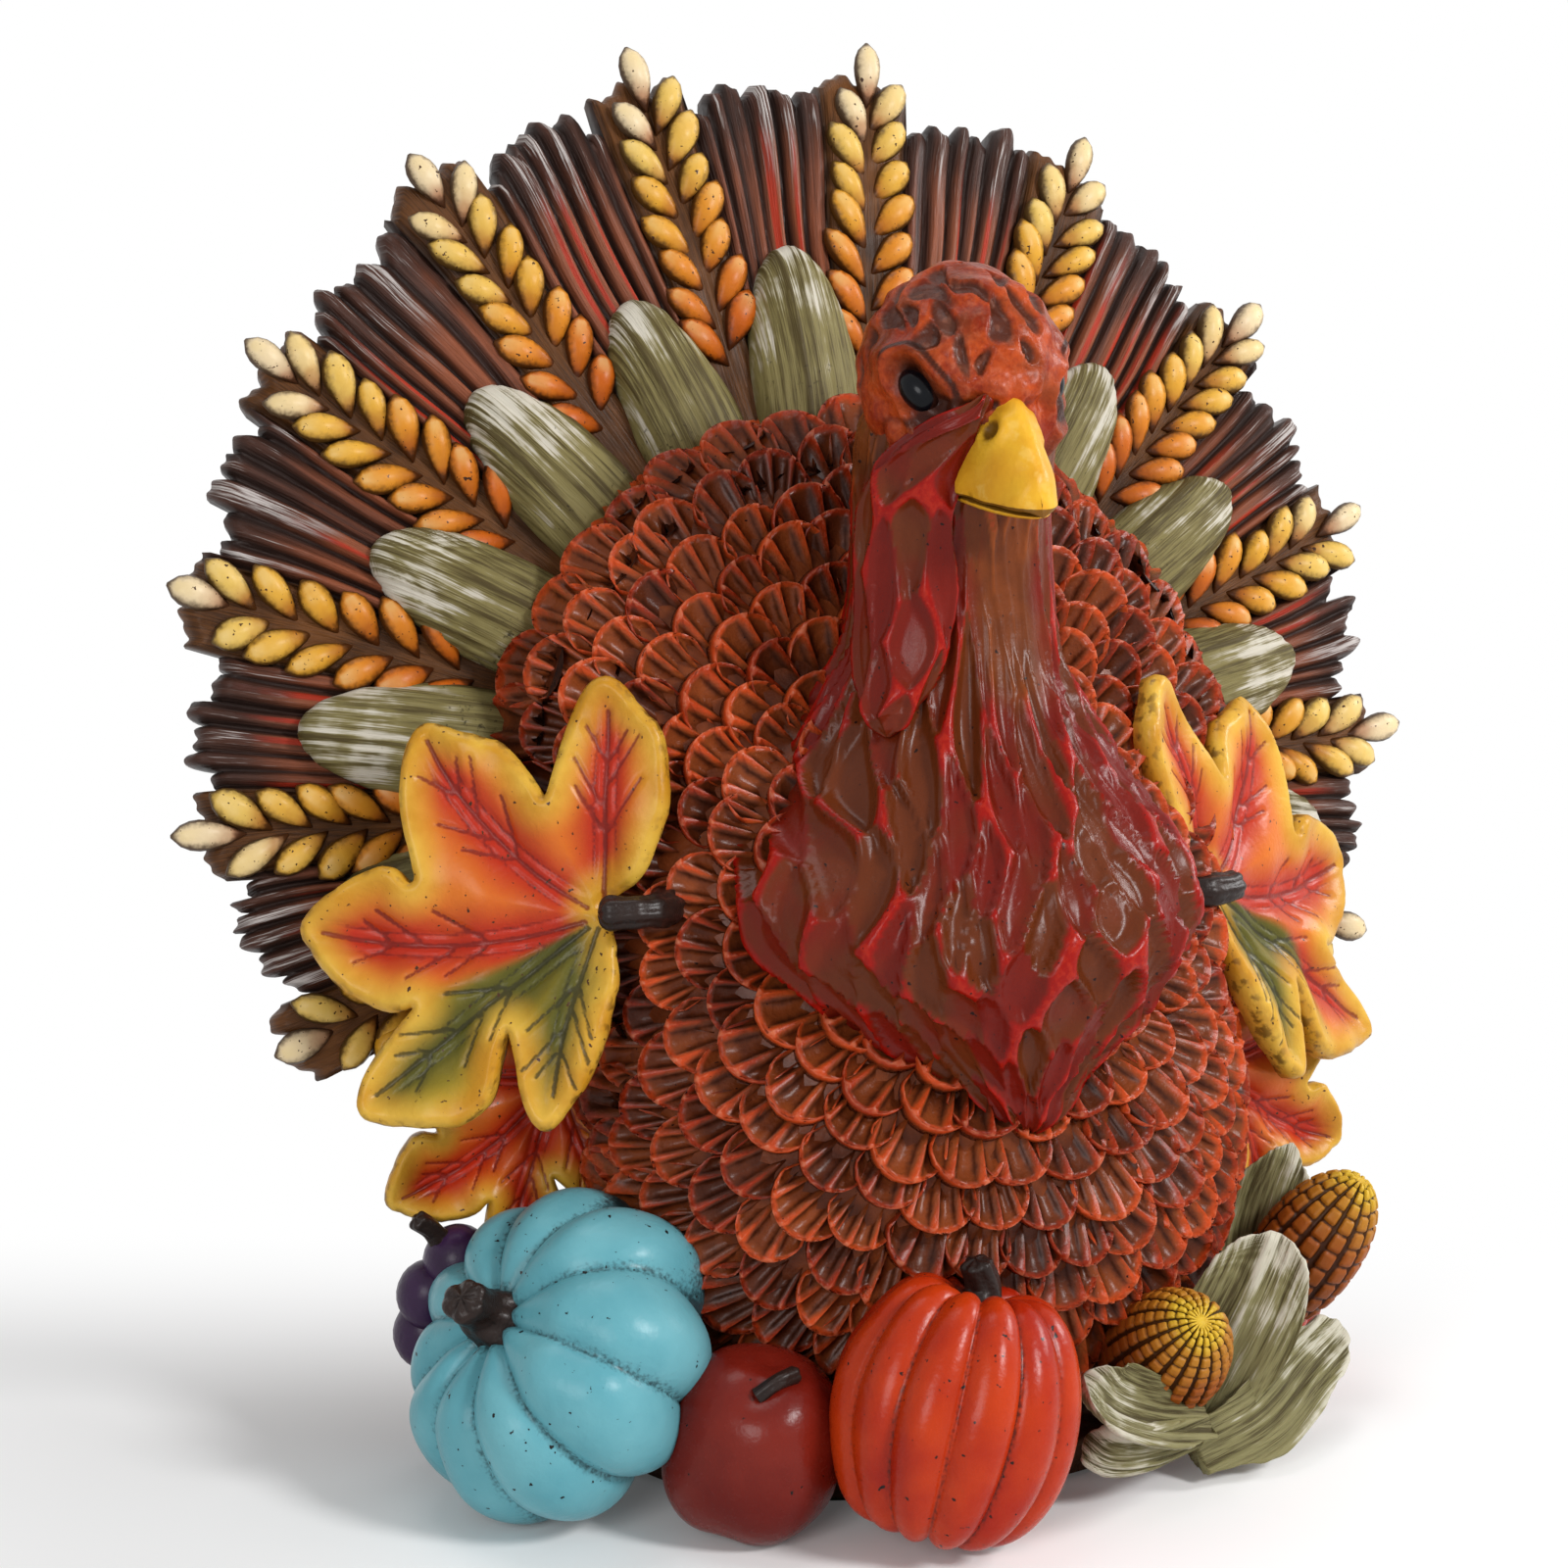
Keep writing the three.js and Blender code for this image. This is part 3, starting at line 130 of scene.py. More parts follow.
# Spreads of the feathers: twist, sizes across, along and up, share of the width that they lie back, and sink
FEATHER_TWIST = 0.12
FEATHER_SIZES = ((0.9, 1.12), (0.94, 1.1), (0.9, 1.15))
FEATHER_BACK = 0.4
FEATHER_BACK_SPREAD = 0.6
FEATHER_SINK = (0.3, 1.0)
# Where there are none: under the bib, on the tail's front within an angle from the top, and past two depths
BIB_COVER = (66.0, 185.0)
BIB_COVER_SHARE = 0.75
TAIL_COVER = 115.0
TAIL_CLEAR = 4.0
FRONT_END = 44.0
BACK_START = 20.0

# Neck and breast: height, middle's depth, half width and half depth
BIB = np.array([
    (64.5, -36, 0.2, 0.2), (66, -34, 4, 5), (73, -28, 14, 14.5), (80, -23, 24, 22.5),
    (89, -19, 32, 30.5), (97, -16, 37.5, 36), (105, -13, 37.5, 36.5), (114, -9, 33.5, 34),
    (123, -6, 28, 29), (132, -5, 22.8, 23.8), (141, -4.5, 18.7, 20.6), (151, -4.5, 16.6, 18.6),
    (162, -5.5, 15.9, 17.6), (173, -8, 15.8, 17), (181, -10, 15, 16.4), (188, -10.8, 9, 9),
    (190, -10.8, 0.2, 0.2),
])
BIB_CELLS = 40
BIB_CELL_LENGTHS = ((64, 90, 120, 150, 190), (14, 15.5, 18, 24, 28))
BIB_TIP_TOP = 70.0
BIB_TIP_ROWS = 23
BIB_GOUGE_DEPTHS = ((64, 72, 100, 135, 150, 190), (0.5, 2.2, 3.4, 2.8, 0.9, 0.3))
# The swell on the left: how far, how high up and how tall
BIB_SWELL = 4.5
BIB_SWELL_HEIGHT = 102.0
BIB_SWELL_REACH = 17.0
# Warm skin: the direction of the throat, its half width in degrees and the heights over which it starts,
# and those of the nape
NECK_FRONT = 278.0
THROAT_WIDTH = 30.0
THROAT_START = (128, 142)
NAPE_START = (160, 176)

# Head
HEAD_MIDDLE = np.array([-1.0, -10.8, 188.0])
HEAD_WIDTH = 16.6
HEAD_FRONT = 19.0
HEAD_BACK = 17.0
HEAD_UP = 17.6
HEAD_DOWN = 23.0
# Eyes: bearing from the front, half sizes, slant, and how deep each is set, by its side
EYE_BEARING = 58.0
EYE_SIZES = (4.2, 3.0, 3.0)
EYE_SLANT = 45.0
EYE_SINK = {-1: 1.2, 1: 4.3}
# Strength of the face's forms on the right, and bearings over which forms and creases fade and start again
FAR_SIDE = 0.6
FORM_FADE = (-40, -5)
CREASE_FADE = (-30, 5)
FAR_CREASE_START = (-36, -50)
# Lines of the face: bearing from the front and elevation, in degrees
BROW = ((84, 10), (58, 17), (34, 5), (8, -3))
EYE_LINE = ((59, 3), (46, -10))
FROWN = ((42, -9), (10, -9))
CHEEK = ((46, -16), (40, -34))
POUCH = ((74, -28), (46, -27))
# Dents of the crown: bearing to the left, elevation, half length, half width and slant
CROWN_DENTS = (
    (83, 36, 13, 7, 55), (60, 55, 15, 7, 65), (43, 39, 11, 7, 30), (52, 26, 9, 6, 10),
    (29, 14, 17, 6, 8), (5, 35, 18, 6.5, 0), (-20, 39, 16, 5.5, -6), (92, 17, 10, 6, 15),
    (76, 68, 13, 5, 80), (-46, 44, 14, 6, -30), (-62, 22, 11, 6, -10), (-84, 40, 13, 6, -50),
    (-98, 14, 11, 6, -15), (118, 38, 14, 6, 50), (138, 12, 12, 6, 10), (158, 42, 14, 6, 20),
    (-126, 34, 13, 6, -40), (-152, 14, 12, 6, -10), (-170, 48, 13, 6, 0), (176, 12, 12, 6, 0),
    (26, 60, 14, 6, 40), (-30, 64, 13, 5, -40), (68, 41, 8, 4, 40), (100, 52, 12, 5, 60),
    (14, 12, 8, 3.5, -20), (-8, 15, 8, 4, 15), (104, 0, 10, 5, 20),
)
# Snood: below, beside and in front of the head's middle, and half width
SNOOD = np.array([
    (1.5, -4.6, 18.6, 0.2), (3.4, -5.6, 18, 2.2), (6.5, -8.4, 15.8, 4.6), (11, -11, 12, 6.6),
    (18, -12.8, 8.2, 8.2), (26, -13, 6.6, 8.8), (35, -13.1, 6.6, 8.8), (44, -14.3, 7.4, 8.1),
    (51.5, -16.4, 9.1, 6.2), (56, -17.8, 10.2, 3.4), (58, -18.2, 10.8, 0.2),
])
SNOOD_DEPTH = 3.6
SNOOD_CELLS = 8
SNOOD_ROWS = 4.6
# Beak: depth, height of its ridge and of its edge, and half width, at the root and at the tip
BEAK_ROOT = (-20.0, 187.6, 170.6, 7.3)
BEAK_TIP = (-41.0, 170.4, 168.8, 0.0)
BEAK_ASIDE = -1.2
BEAK_UNDERSIDE = 1.4
LOWER_BEAK = (6.3, 1.4)
LOWER_BEAK_SHORT = 1.2
NOSTRIL = (-30.5, 180.5)

# Tail fan
FAN_SWEEP = 20.0
FAN_TIP = 121.0
FAN_TIP_RISE = 21.0
EAR_COUNT = 12
EAR_STEP = 19.54
STRIP_HALF = 3.9
BARK_RIBS = 6
BARK_RELIEF = 2.6
FAN_INNER = 58.0
FAN_THICKNESS = 7.0
FAN_EDGE = 4.5
FAN_SEED = 5
RIM_ROUNDING = 0.9
# Ends of the strips and ribs as shares of the fan's reach: middle of a sector, arch, slant and spread
STRIP_END = 0.95
BARK_END = 0.913
BARK_ARCH = 0.026
BARK_SLANT = 0.02
BARK_END_SPREAD = 0.014
STRIP_HEIGHT = 0.55
RIB_HEIGHT_SPREAD = (0.65, 1.15)
RIB_WIDTH_SPREAD = (0.6, 1.4)
RED_LINES = (0.5, 1.0)

# Wheat ears
EAR_ROOT = 0.57
GRAIN_PITCH = 6.9
GRAIN_LENGTH = 12.6
GRAIN_WIDTH = 5.6
GRAIN_THICKNESS = 4.6
GRAIN_SPLAY = 40.0
GRAIN_ASIDE = 0.3
EAR_LIFT = 1.5
EAR_SEED = 300
GRAIN_SIZES = (0.92, 1.08)

# Husk feathers in front of the tail
HUSK_COUNT = 11
HUSK_ROOT = 55.0
HUSK_TIP = 99.5
HUSK_WIDTH = 10.6
HUSK_RISE = 7.4
HUSK_SEED = 500
HUSK_FIBRE_SEED = 70
HUSK_LENGTHS = (-2.0, 2.5)
HUSK_WIDTHS = (0.94, 1.04)
HUSK_LIFT = (1.2, 1.8)

# Maple leaves: points in the plane of the leaf, outwards and up from its stem
LEAF_TIPS = np.array([(0.5, 39.5), (32.5, 30.5), (51, -4), (39.5, -34), (7, -35.5)], float)
LEAF_RIM = np.array([
    (0.6, 2), (-2.5, 4), (-6, 6.5), (-8.4, 12), (-10, 19), (-9.6, 27), (-8.2, 31.5),
    (-5.6, 33.8), (-2.5, 37.2), (0.5, 39.5), (3.6, 38.4), (5.6, 35.5), (7.6, 30), (9, 24),
    (10.4, 19), (12.4, 21.5), (16.5, 26.2), (20.5, 28.6), (26, 29.5), (30, 30.6), (32.5, 30.4),
    (34.4, 27.5), (35, 22), (34.4, 15), (33, 10), (31.6, 5.4), (32.7, 4), (35.5, 6.2),
    (39.5, 6), (44.5, 3), (48, 0.4), (51, -4), (49.6, -7.4), (46, -11.4), (41, -15),
    (35, -17.2), (30.8, -16.6), (33.6, -20.2), (37, -25), (39, -29.5), (39.5, -33.5), (37.4, -35.4),
    (32, -36), (25, -35.8), (20, -34), (17, -30.6), (15.8, -25), (14.6, -19.8), (12.9, -24.6),
    (11.9, -29.5), (9.8, -34), (7, -35.6), (4.5, -32.6), (1.9, -28.5), (-1, -22.5), (-2.5, -14.7),
    (-3, -9.8), (-1.8, -3.4),
])
LEAF_GREEN = (0, 0, 0, 1, 1)
VEIN_BENDS = (0.0, -4.0, -4.0, 0.0, 1.0)
VEIN_REACH = (0.86, 0.94, 0.93, 0.92, 0.85)
VEIN_START = 0.06
VEIN_POINTS = 9
# Side veins: number of the main vein's point that they leave, side and length
SIDE_VEINS = ((3, 1, 11), (3, -1, 9), (4, -1, 10), (5, 1, 10), (6, -1, 7), (6, 1, 6))
LEAF_THICKNESS = 5.0
LEAF_MESH = 0.6
WING = {"turn": 33.6, "roll": 0, "scale": 1, "green": 1}
WINGS = {
    "left": {"side": -1, "origin": (63, -4, 100.5), "lean": 16.0},
    "right": {
        "side": 1, "origin": (56, -4, 94.0), "lean": 14.0, "sway": 0.2, "drop": 1.08, "green_end": 30.0,
    },
}
# Stems of the wings, outwards, back and up from the wing's origin
WING_STEM = np.array([(-14, 3, 0), (-7, -5, 1), (1.5, -3, 1)])
WING_STEM_RADII = (3.3, 2.8, 2.6)
WING_STEM_GROOVES = 7
WING_STEM_SEED = 90
LOW_LEAF = {"turn": 14.0, "lean": 10.0, "roll": -30.0, "scale": 0.72, "green": 0}
LOW_LEAVES = {
    "left": {"side": -1, "origin": (62, 17.5, 67.5)},
    "right": {"side": 1, "origin": (66, 12.5, 57)},
}

# Pumpkins: middle, axis, half width, half height, number of ribs, depth of the grooves and seed
TEAL_MIDDLE = np.array([-72.6, -8.0, 27.0])
PUMPKINS = {
    "teal_pumpkin": {
        "middle": TEAL_MIDDLE, "axis": (-0.8, -0.16, 0.58), "radius": 29.0, "half": 20.5,
        "ribs": 10, "groove": 3.6, "seed": 3,
    },
    "orange_pumpkin": {
        "middle": np.array([-18.6, -47.4, 22.5]), "axis": (0.3, 0.1, 1.0), "radius": 20.7, "half": 25.0,
        "ribs": 11, "groove": 2.6, "seed": 4,
    },
    "rear_pumpkin": {
        "middle": np.array([66.0, 6.2, 15.0]), "axis": (0, 0, 1), "radius": 17.1, "half": 15.5,
        "ribs": 9, "groove": 1.8, "seed": 6,
    },
}
# Their stems: height of the foot over the pumpkin's middle, lean of the end, length, radii and seed
PUMPKIN_STEMS = {
    "teal_pumpkin": {
        "rise": 12.0, "lean": (-0.6, -0.5, 0.6), "length": 14, "radii": (6.2, 3.9, 3.6), "seed": 91,
    },
    "orange_pumpkin": {
        "rise": 15.5, "lean": (-0.4, 0.0, 1.0), "length": 11, "radii": (5.0, 3.0, 2.6), "seed": 92,
    },
}
PUMPKIN_STEM_GROOVES = 6

# Apple, with its stem from its middle
APPLE_MIDDLE = np.array([-46.8, -30.9, 16.0])
APPLE_AXIS = (0.1, -0.25, 1.0)
APPLE_RADIUS = 14.6
APPLE_HALF = 16.4
APPLE_SUNK = 0.1
APPLE_FOOT = 0.16
APPLE_STEM = np.array([(-3.6, -8.5, 11.0), (-0.4, -9.4, 13.2), (3.8, -8.4, 13.8)])
APPLE_STEM_RADII = (1.5, 1.3, 1.7)
APPLE_STEM_SEED = 93
THIN_STEM_GROOVES = 5

# Corn cobs: middle, axis, half width, half length, columns and rows of grains, and seed
COBS = {
    "corn_cob_front": {
        "middle": np.array([27.5, -35.5, 21.0]), "axis": (0.02, -0.76, 0.65), "radius": 10.3, "half": 15.4,
        "grain_columns": 18, "grain_rows": 20, "seed": 14,
    },
    "corn_cob_rear": {
        "middle": np.array([70.8, -11.6, 26.5]), "axis": (0.38, -0.4, 0.83), "radius": 9.2, "half": 17.4,
        "grain_columns": 14, "grain_rows": 14, "seed": 15,
    },
}
# Corn leaves: spine, half widths along it, facing and cup
CORN_BLADES = (
    {
        "spine": ((33, -32, 5), (40.5, -32, 16), (47.5, -32, 28), (53, -31, 38)),
        "widths": (4, 9.4, 9.6, 4.6), "facing": (-0.55, -0.8, 0.2), "cup": 3.4,
    },
    {
        "spine": ((30, -42, 5), (44.5, -39.5, 8.5), (58, -32, 13.4), (69.5, -26, 17)),
        "widths": (4, 6.6, 6.0, 3.2), "facing": (-0.3, -0.9, 0.4), "cup": 2.0,
    },
    {
        "spine": ((31, -42, 11), (19, -46.5, 15), (10, -47.5, 19.5), (6, -46, 24.5)),
        "widths": (4, 6.4, 6.6, 3.0), "facing": (0.2, -0.8, 0.6), "cup": 3.5,
    },
    {
        "spine": ((31, -42.5, 9.5), (18.5, -47.5, 10.5), (10, -48.5, 11.5), (6, -47, 14)),
        "widths": (3, 4.6, 4.8, 2.6), "facing": (-0.1, -0.9, -0.2), "cup": 1.0,
    },
    {
        "spine": ((65, -4, 18), (66.5, -3.5, 28), (69.5, -3, 37), (73, -2.5, 44)),
        "widths": (6, 8.2, 6.6, 1.2), "facing": (-0.4, -0.9, 0.1), "cup": 2.0,
    },
)
BLADE_THICKNESS = 3.6
BLADE_SEED = 95

# Grapes, from the teal pumpkin's middle, with their stem from the first one
GRAPES = np.array([
    (-9, 24.5, 10), (-13.5, 26.5, 4), (-5, 30.5, 3), (-13, 29.5, -4), (-5, 28.5, -6), (-8, 27.5, -12),
])
GRAPE_STEM = np.array([(-3, 0, 4), (-5, -0.5, 6.5), (-8, -1, 9)])
GRAPE_STEM_RADII = (2.2, 1.7, 1.8)
GRAPE_STEM_SEED = 94
GRAPE_SEED = 77
GRAPE_RADIUS = 6.0

# Slabs under the figure: lower and upper level, how far the ends are drawn in, roughness of the rim and seed
FELT_TOP = 1.0
SLABS = {
    "base_plate": {"low": FELT_TOP, "high": PLATE_TOP, "soft": 0.03, "rough": 0.05, "seed": 61},
    "felt_pad": {"low": 0.0, "high": FELT_TOP, "soft": 0.01, "rough": 0.01, "seed": 62},
}


def smooth(low, high, value):
    """A smooth step from 0 at low to 1 at high."""
    share = np.clip((value - low) / (high - low), 0, 1)
    return share * share * (3 - 2 * share)


def bell(distance, width):
    return np.exp(-((distance / width) ** 2))


def wrapped(degrees):
    """The same angle between -180 and 180 degrees."""
    return (degrees + 180) % 360 - 180


def unit(vectors):
    return vectors / np.maximum(np.linalg.norm(vectors, axis=-1, keepdims=True), TINY)


def through(keys, values, places):
    """Values at places, on a smooth curve through the values given at keys."""
    keys = np.asarray(keys, float)
    values = np.asarray(values, float).reshape(len(keys), -1)
    slopes = np.gradient(values, keys, axis=0)
    first = np.clip(np.searchsorted(keys, places) - 1, 0, len(keys) - 2)
    width = (keys[first + 1] - keys[first])[:, None]
    share = (places - keys[first])[:, None] / width
    start = (1 + 2 * share) * (1 - share) ** 2 * values[first]
    end = share * share * (3 - 2 * share) * values[first + 1]
    bend = share * (1 - share) * width * ((1 - share) * slopes[first] - share * slopes[first + 1])
    return start + end + bend


def lines_distance(points, lines):
    """Distance from each point to the nearest of some lines, each a start and an end."""
    best = np.full(points.shape[:-1], np.inf)
    for start, end in lines:
        line = np.asarray(end, float) - start
        share = np.clip((points - start) @ line / (line @ line), 0, 1)
        best = np.minimum(best, np.linalg.norm(points - start - share[..., None] * line, axis=-1))
    return best


def wobble(points, size, seed, waves=8):
    """A smooth random field over points, about -1 to 1, with waves of about the given size."""
    draw = np.random.default_rng(seed)
    total = 0.0
    for _ in range(waves):
        direction = draw.normal(size=points.shape[-1])
        total = total + np.sin(points @ direction * (TURN / size / 2) + draw.uniform(0, TURN))
    return total / math.sqrt(waves)


def gouges(across, along, columns, seed):
    """Pointed hollows in staggered columns: how deep a place lies in one, 0 outside them, and its tone."""
    draw = np.random.default_rng(seed)
    shape = (int(np.ceil(along.max())) + 4, columns)
    aside = draw.uniform(-0.14, 0.14, shape)
    late = draw.uniform(-0.18, 0.18, shape)
    lengths = draw.uniform(0.54, 0.66, shape)
    widths = draw.uniform(0.6, 0.9, shape)
    leans = draw.uniform(-0.5, 0.5, shape)
    tones = draw.random(shape)
    column = np.floor(across).astype(int)
    deepest = np.zeros(across.shape)
    tone = np.full(across.shape, 0.5)
    for step in (-1, 0, 1):
        beside_column = (column + step) % columns
        walk = along + 1 - 0.5 * ((column + step) % 2)
        for jump in (-1, 0, 1):
            row = np.clip(np.floor(walk).astype(int) + jump, 0, shape[0] - 1)
            cell = (row, beside_column)
            over = walk - row - 0.5 - late[cell]
            beside = across - column - step - 0.5 - aside[cell] - leans[cell] * over
            depth = 1 - np.abs(beside) / widths[cell] - (over / lengths[cell]) ** 2
            tone = np.where(depth > deepest, tones[cell], tone)
            deepest = np.maximum(deepest, depth)
    return deepest, tone


# Meshes
def write_mesh(name, points, faces, values=None):
    """A new mesh object from points in millimetres, with a value at each point for each named value."""
    mesh = bpy.data.meshes.new(name)
    mesh.from_pydata((np.asarray(points) * MM).tolist(), [], [list(face) for face in faces])
    for key, numbers in (values or {}).items():
        numbers = np.asarray(numbers, np.float32)
        kind = "FLOAT_VECTOR" if numbers.ndim == 2 else "FLOAT"
        layer = mesh.attributes.new(key, kind, "POINT")
        layer.data.foreach_set("vector" if numbers.ndim == 2 else "value", numbers.ravel())
    piece = bpy.data.objects.new(name, mesh)
    bpy.context.scene.collection.objects.link(piece)
    return piece


def weld(piece):
    """Closes seams and poles, and shades the piece smoothly."""
    work = bmesh.new()
    work.from_mesh(piece.data)
    bmesh.ops.remove_doubles(work, verts=work.verts, dist=WELD)
    bmesh.ops.dissolve_degenerate(work, edges=work.edges, dist=WELD)
    bmesh.ops.recalc_face_normals(work, faces=work.faces)
    work.to_mesh(piece.data)
    work.free()
    piece.data.shade_smooth()
    return piece


def grid_faces(rows, columns, meets=True):
    """Faces of a grid of points, whose last column meets the first or not."""
    index = np.arange(rows * columns).reshape(rows, columns)
    if meets:
        index = np.hstack([index, index[:, :1]])
    corners = (index[:-1, :-1], index[:-1, 1:], index[1:, 1:], index[1:, :-1])
    return np.stack(corners, -1).reshape(-1, 4).tolist()


def closed_grid(name, points, values=None):
    """A closed piece from rows of rings. The ends are closed by the middle of the end rings."""
    rows, columns = points.shape[:2]
    flat = points.reshape(-1, 3)
    low = points[0].mean(0)
    high = points[-1].mean(0)
    faces = grid_faces(rows, columns)
    last = rows * columns
    for column in range(columns):
        after = (column + 1) % columns
        faces.append([last, after, column])
        faces.append([last + 1, last - columns + column, last - columns + after])
    numbers = {}
    for key, value in (values or {}).items():
        value = np.broadcast_to(value, (rows, columns))
        numbers[key] = np.concatenate([value.ravel(), [value[0].mean(), value[-1].mean()]])
    return weld(write_mesh(name, np.vstack([flat, low, high]), faces, numbers))


def ring_normals(points):
    """Outward directions on rows of rings that go round anticlockwise, seen from the last row."""
    along = np.gradient(points, axis=0)
    across = np.roll(points, -1, 1) - np.roll(points, 1, 1)
    return unit(np.cross(across, along))


def raised(points, height):
    return points + ring_normals(points) * height[..., None]


def ring_angles(columns):
    return np.arange(columns) * TURN / columns


def pole_angles(rows):
    return np.linspace(-math.pi / 2, math.pi / 2, rows)


def rings(middles, rights, aheads, widths, depths, angles):
    """Rows of elliptical rings about middles, with one pair of axes or a pair for each row."""
    rights = np.broadcast_to(rights, middles.shape)
    aheads = np.broadcast_to(aheads, middles.shape)
    across = np.cos(angles)[None, :, None] * rights[:, None, :] * widths[:, None, None]
    over = np.sin(angles)[None, :, None] * aheads[:, None, :] * depths[:, None, None]
    return middles[:, None, :] + across + over


def axes_along(direction, hint):
    """Three square axes with the third along a direction and the second near a hint."""
    up = unit(np.asarray(direction, float))
    right = unit(np.cross(hint, up))
    return right, np.cross(up, right), up


def span(node):
    """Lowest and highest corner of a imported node, in millimetres."""
    low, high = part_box(node)
    return np.array(low) / MM, np.array(high) / MM


def dress(piece, paint, slot, *nodes):
    """Paints a finished piece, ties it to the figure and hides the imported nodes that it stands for."""
    piece.data.materials.clear()
    piece.data.materials.append(paint)
    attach(piece, "root")
    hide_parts(*nodes)


# Planting: one copy of a unit shape on each point, turned and sized by the point's own values
def planting_tree():
    tree = bpy.data.node_groups.new("plant_units", "GeometryNodeTree")
    face = tree.interface
    face.new_socket("Points", in_out="INPUT", socket_type="NodeSocketGeometry")
    inputs = {
        "units": face.new_socket("Units", in_out="INPUT", socket_type="NodeSocketCollection").identifier,
        "paint": face.new_socket("Paint", in_out="INPUT", socket_type="NodeSocketMaterial").identifier,
    }
    face.new_socket("Planted", in_out="OUTPUT", socket_type="NodeSocketGeometry")
    nodes = tree.nodes
    link = tree.links.new
    source = nodes.new("NodeGroupInput")
    target = nodes.new("NodeGroupOutput")
    units = nodes.new("GeometryNodeCollectionInfo")
    units.inputs["Separate Children"].default_value = True
    units.inputs["Reset Children"].default_value = True
    plant = nodes.new("GeometryNodeInstanceOnPoints")
    plant.inputs["Pick Instance"].default_value = True
    turn = nodes.new("FunctionNodeAxesToRotation")
    turn.primary_axis = "Z"
    turn.secondary_axis = "Y"
    real = nodes.new("GeometryNodeRealizeInstances")
    paint = nodes.new("GeometryNodeSetMaterial")

    def value(name, kind):
        made = nodes.new("GeometryNodeInputNamedAttribute")
        made.data_type = kind
        made.inputs["Name"].default_value = name
        return made.outputs["Attribute"]

    link(source.outputs["Points"], plant.inputs["Points"])
    link(source.outputs["Units"], units.inputs["Collection"])
    link(units.outputs[0], plant.inputs["Instance"])
    link(value("variant", "INT"), plant.inputs["Instance Index"])
    link(value("out", "FLOAT_VECTOR"), turn.inputs["Primary Axis"])
    link(value("along", "FLOAT_VECTOR"), turn.inputs["Secondary Axis"])
    link(turn.outputs[0], plant.inputs["Rotation"])
    link(value("size", "FLOAT_VECTOR"), plant.inputs["Scale"])
    link(plant.outputs[0], real.inputs[0])
    link(real.outputs[0], paint.inputs["Geometry"])
    link(source.outputs["Paint"], paint.inputs["Material"])
    link(paint.outputs[0], target.inputs[0])
    return tree, inputs


PLANTING, PLANTING_INPUTS = planting_tree()


def planted(name, points, units, paint):
    """A mesh object with a unit shape on each point. A point is a dict of place, out, along, size, tone
    and variant, the number of its unit."""
    def column(key):
        return np.array([point[key] for point in points], float)

    values = {key: column(key) for key in ("out", "along", "size", "tone", "variant")}
    piece = write_mesh(name, column("place"), [], values)
    chest = bpy.data.collections.new(name + "_units")
    for shape in units:
        bpy.context.scene.collection.objects.unlink(shape)
        chest.objects.link(shape)
    grow = piece.modifiers.new("plant", "NODES")
    grow.node_group = PLANTING
    grow[PLANTING_INPUTS["units"]] = chest
    grow[PLANTING_INPUTS["paint"]] = paint
    graph = bpy.context.evaluated_depsgraph_get()
    grown = bpy.data.meshes.new_from_object(piece.evaluated_get(graph))
    piece.modifiers.clear()
    bare = piece.data
    piece.data = grown
    bpy.data.meshes.remove(bare)
    for shape in units:
        bpy.data.objects.remove(shape)
    bpy.data.collections.remove(chest)
    for key in ("out", "along", "size", "variant"):
        grown.attributes.remove(grown.attributes[key])
    grown.shade_smooth()
    return piece


# Paint
SPECK_SOFTNESS = 0.04
COAT_ROUGHNESS = 0.25


def colour(text):
    """A written sRGB colour as Blender's linear one."""
    shares = [int(text[i:i + 2], 16) / 255 for i in (0, 2, 4)]
    return tuple(s / 12.92 if s < 0.04045 else ((s + 0.055) / 1.055) ** 2.4 for s in shares) + (1.0,)


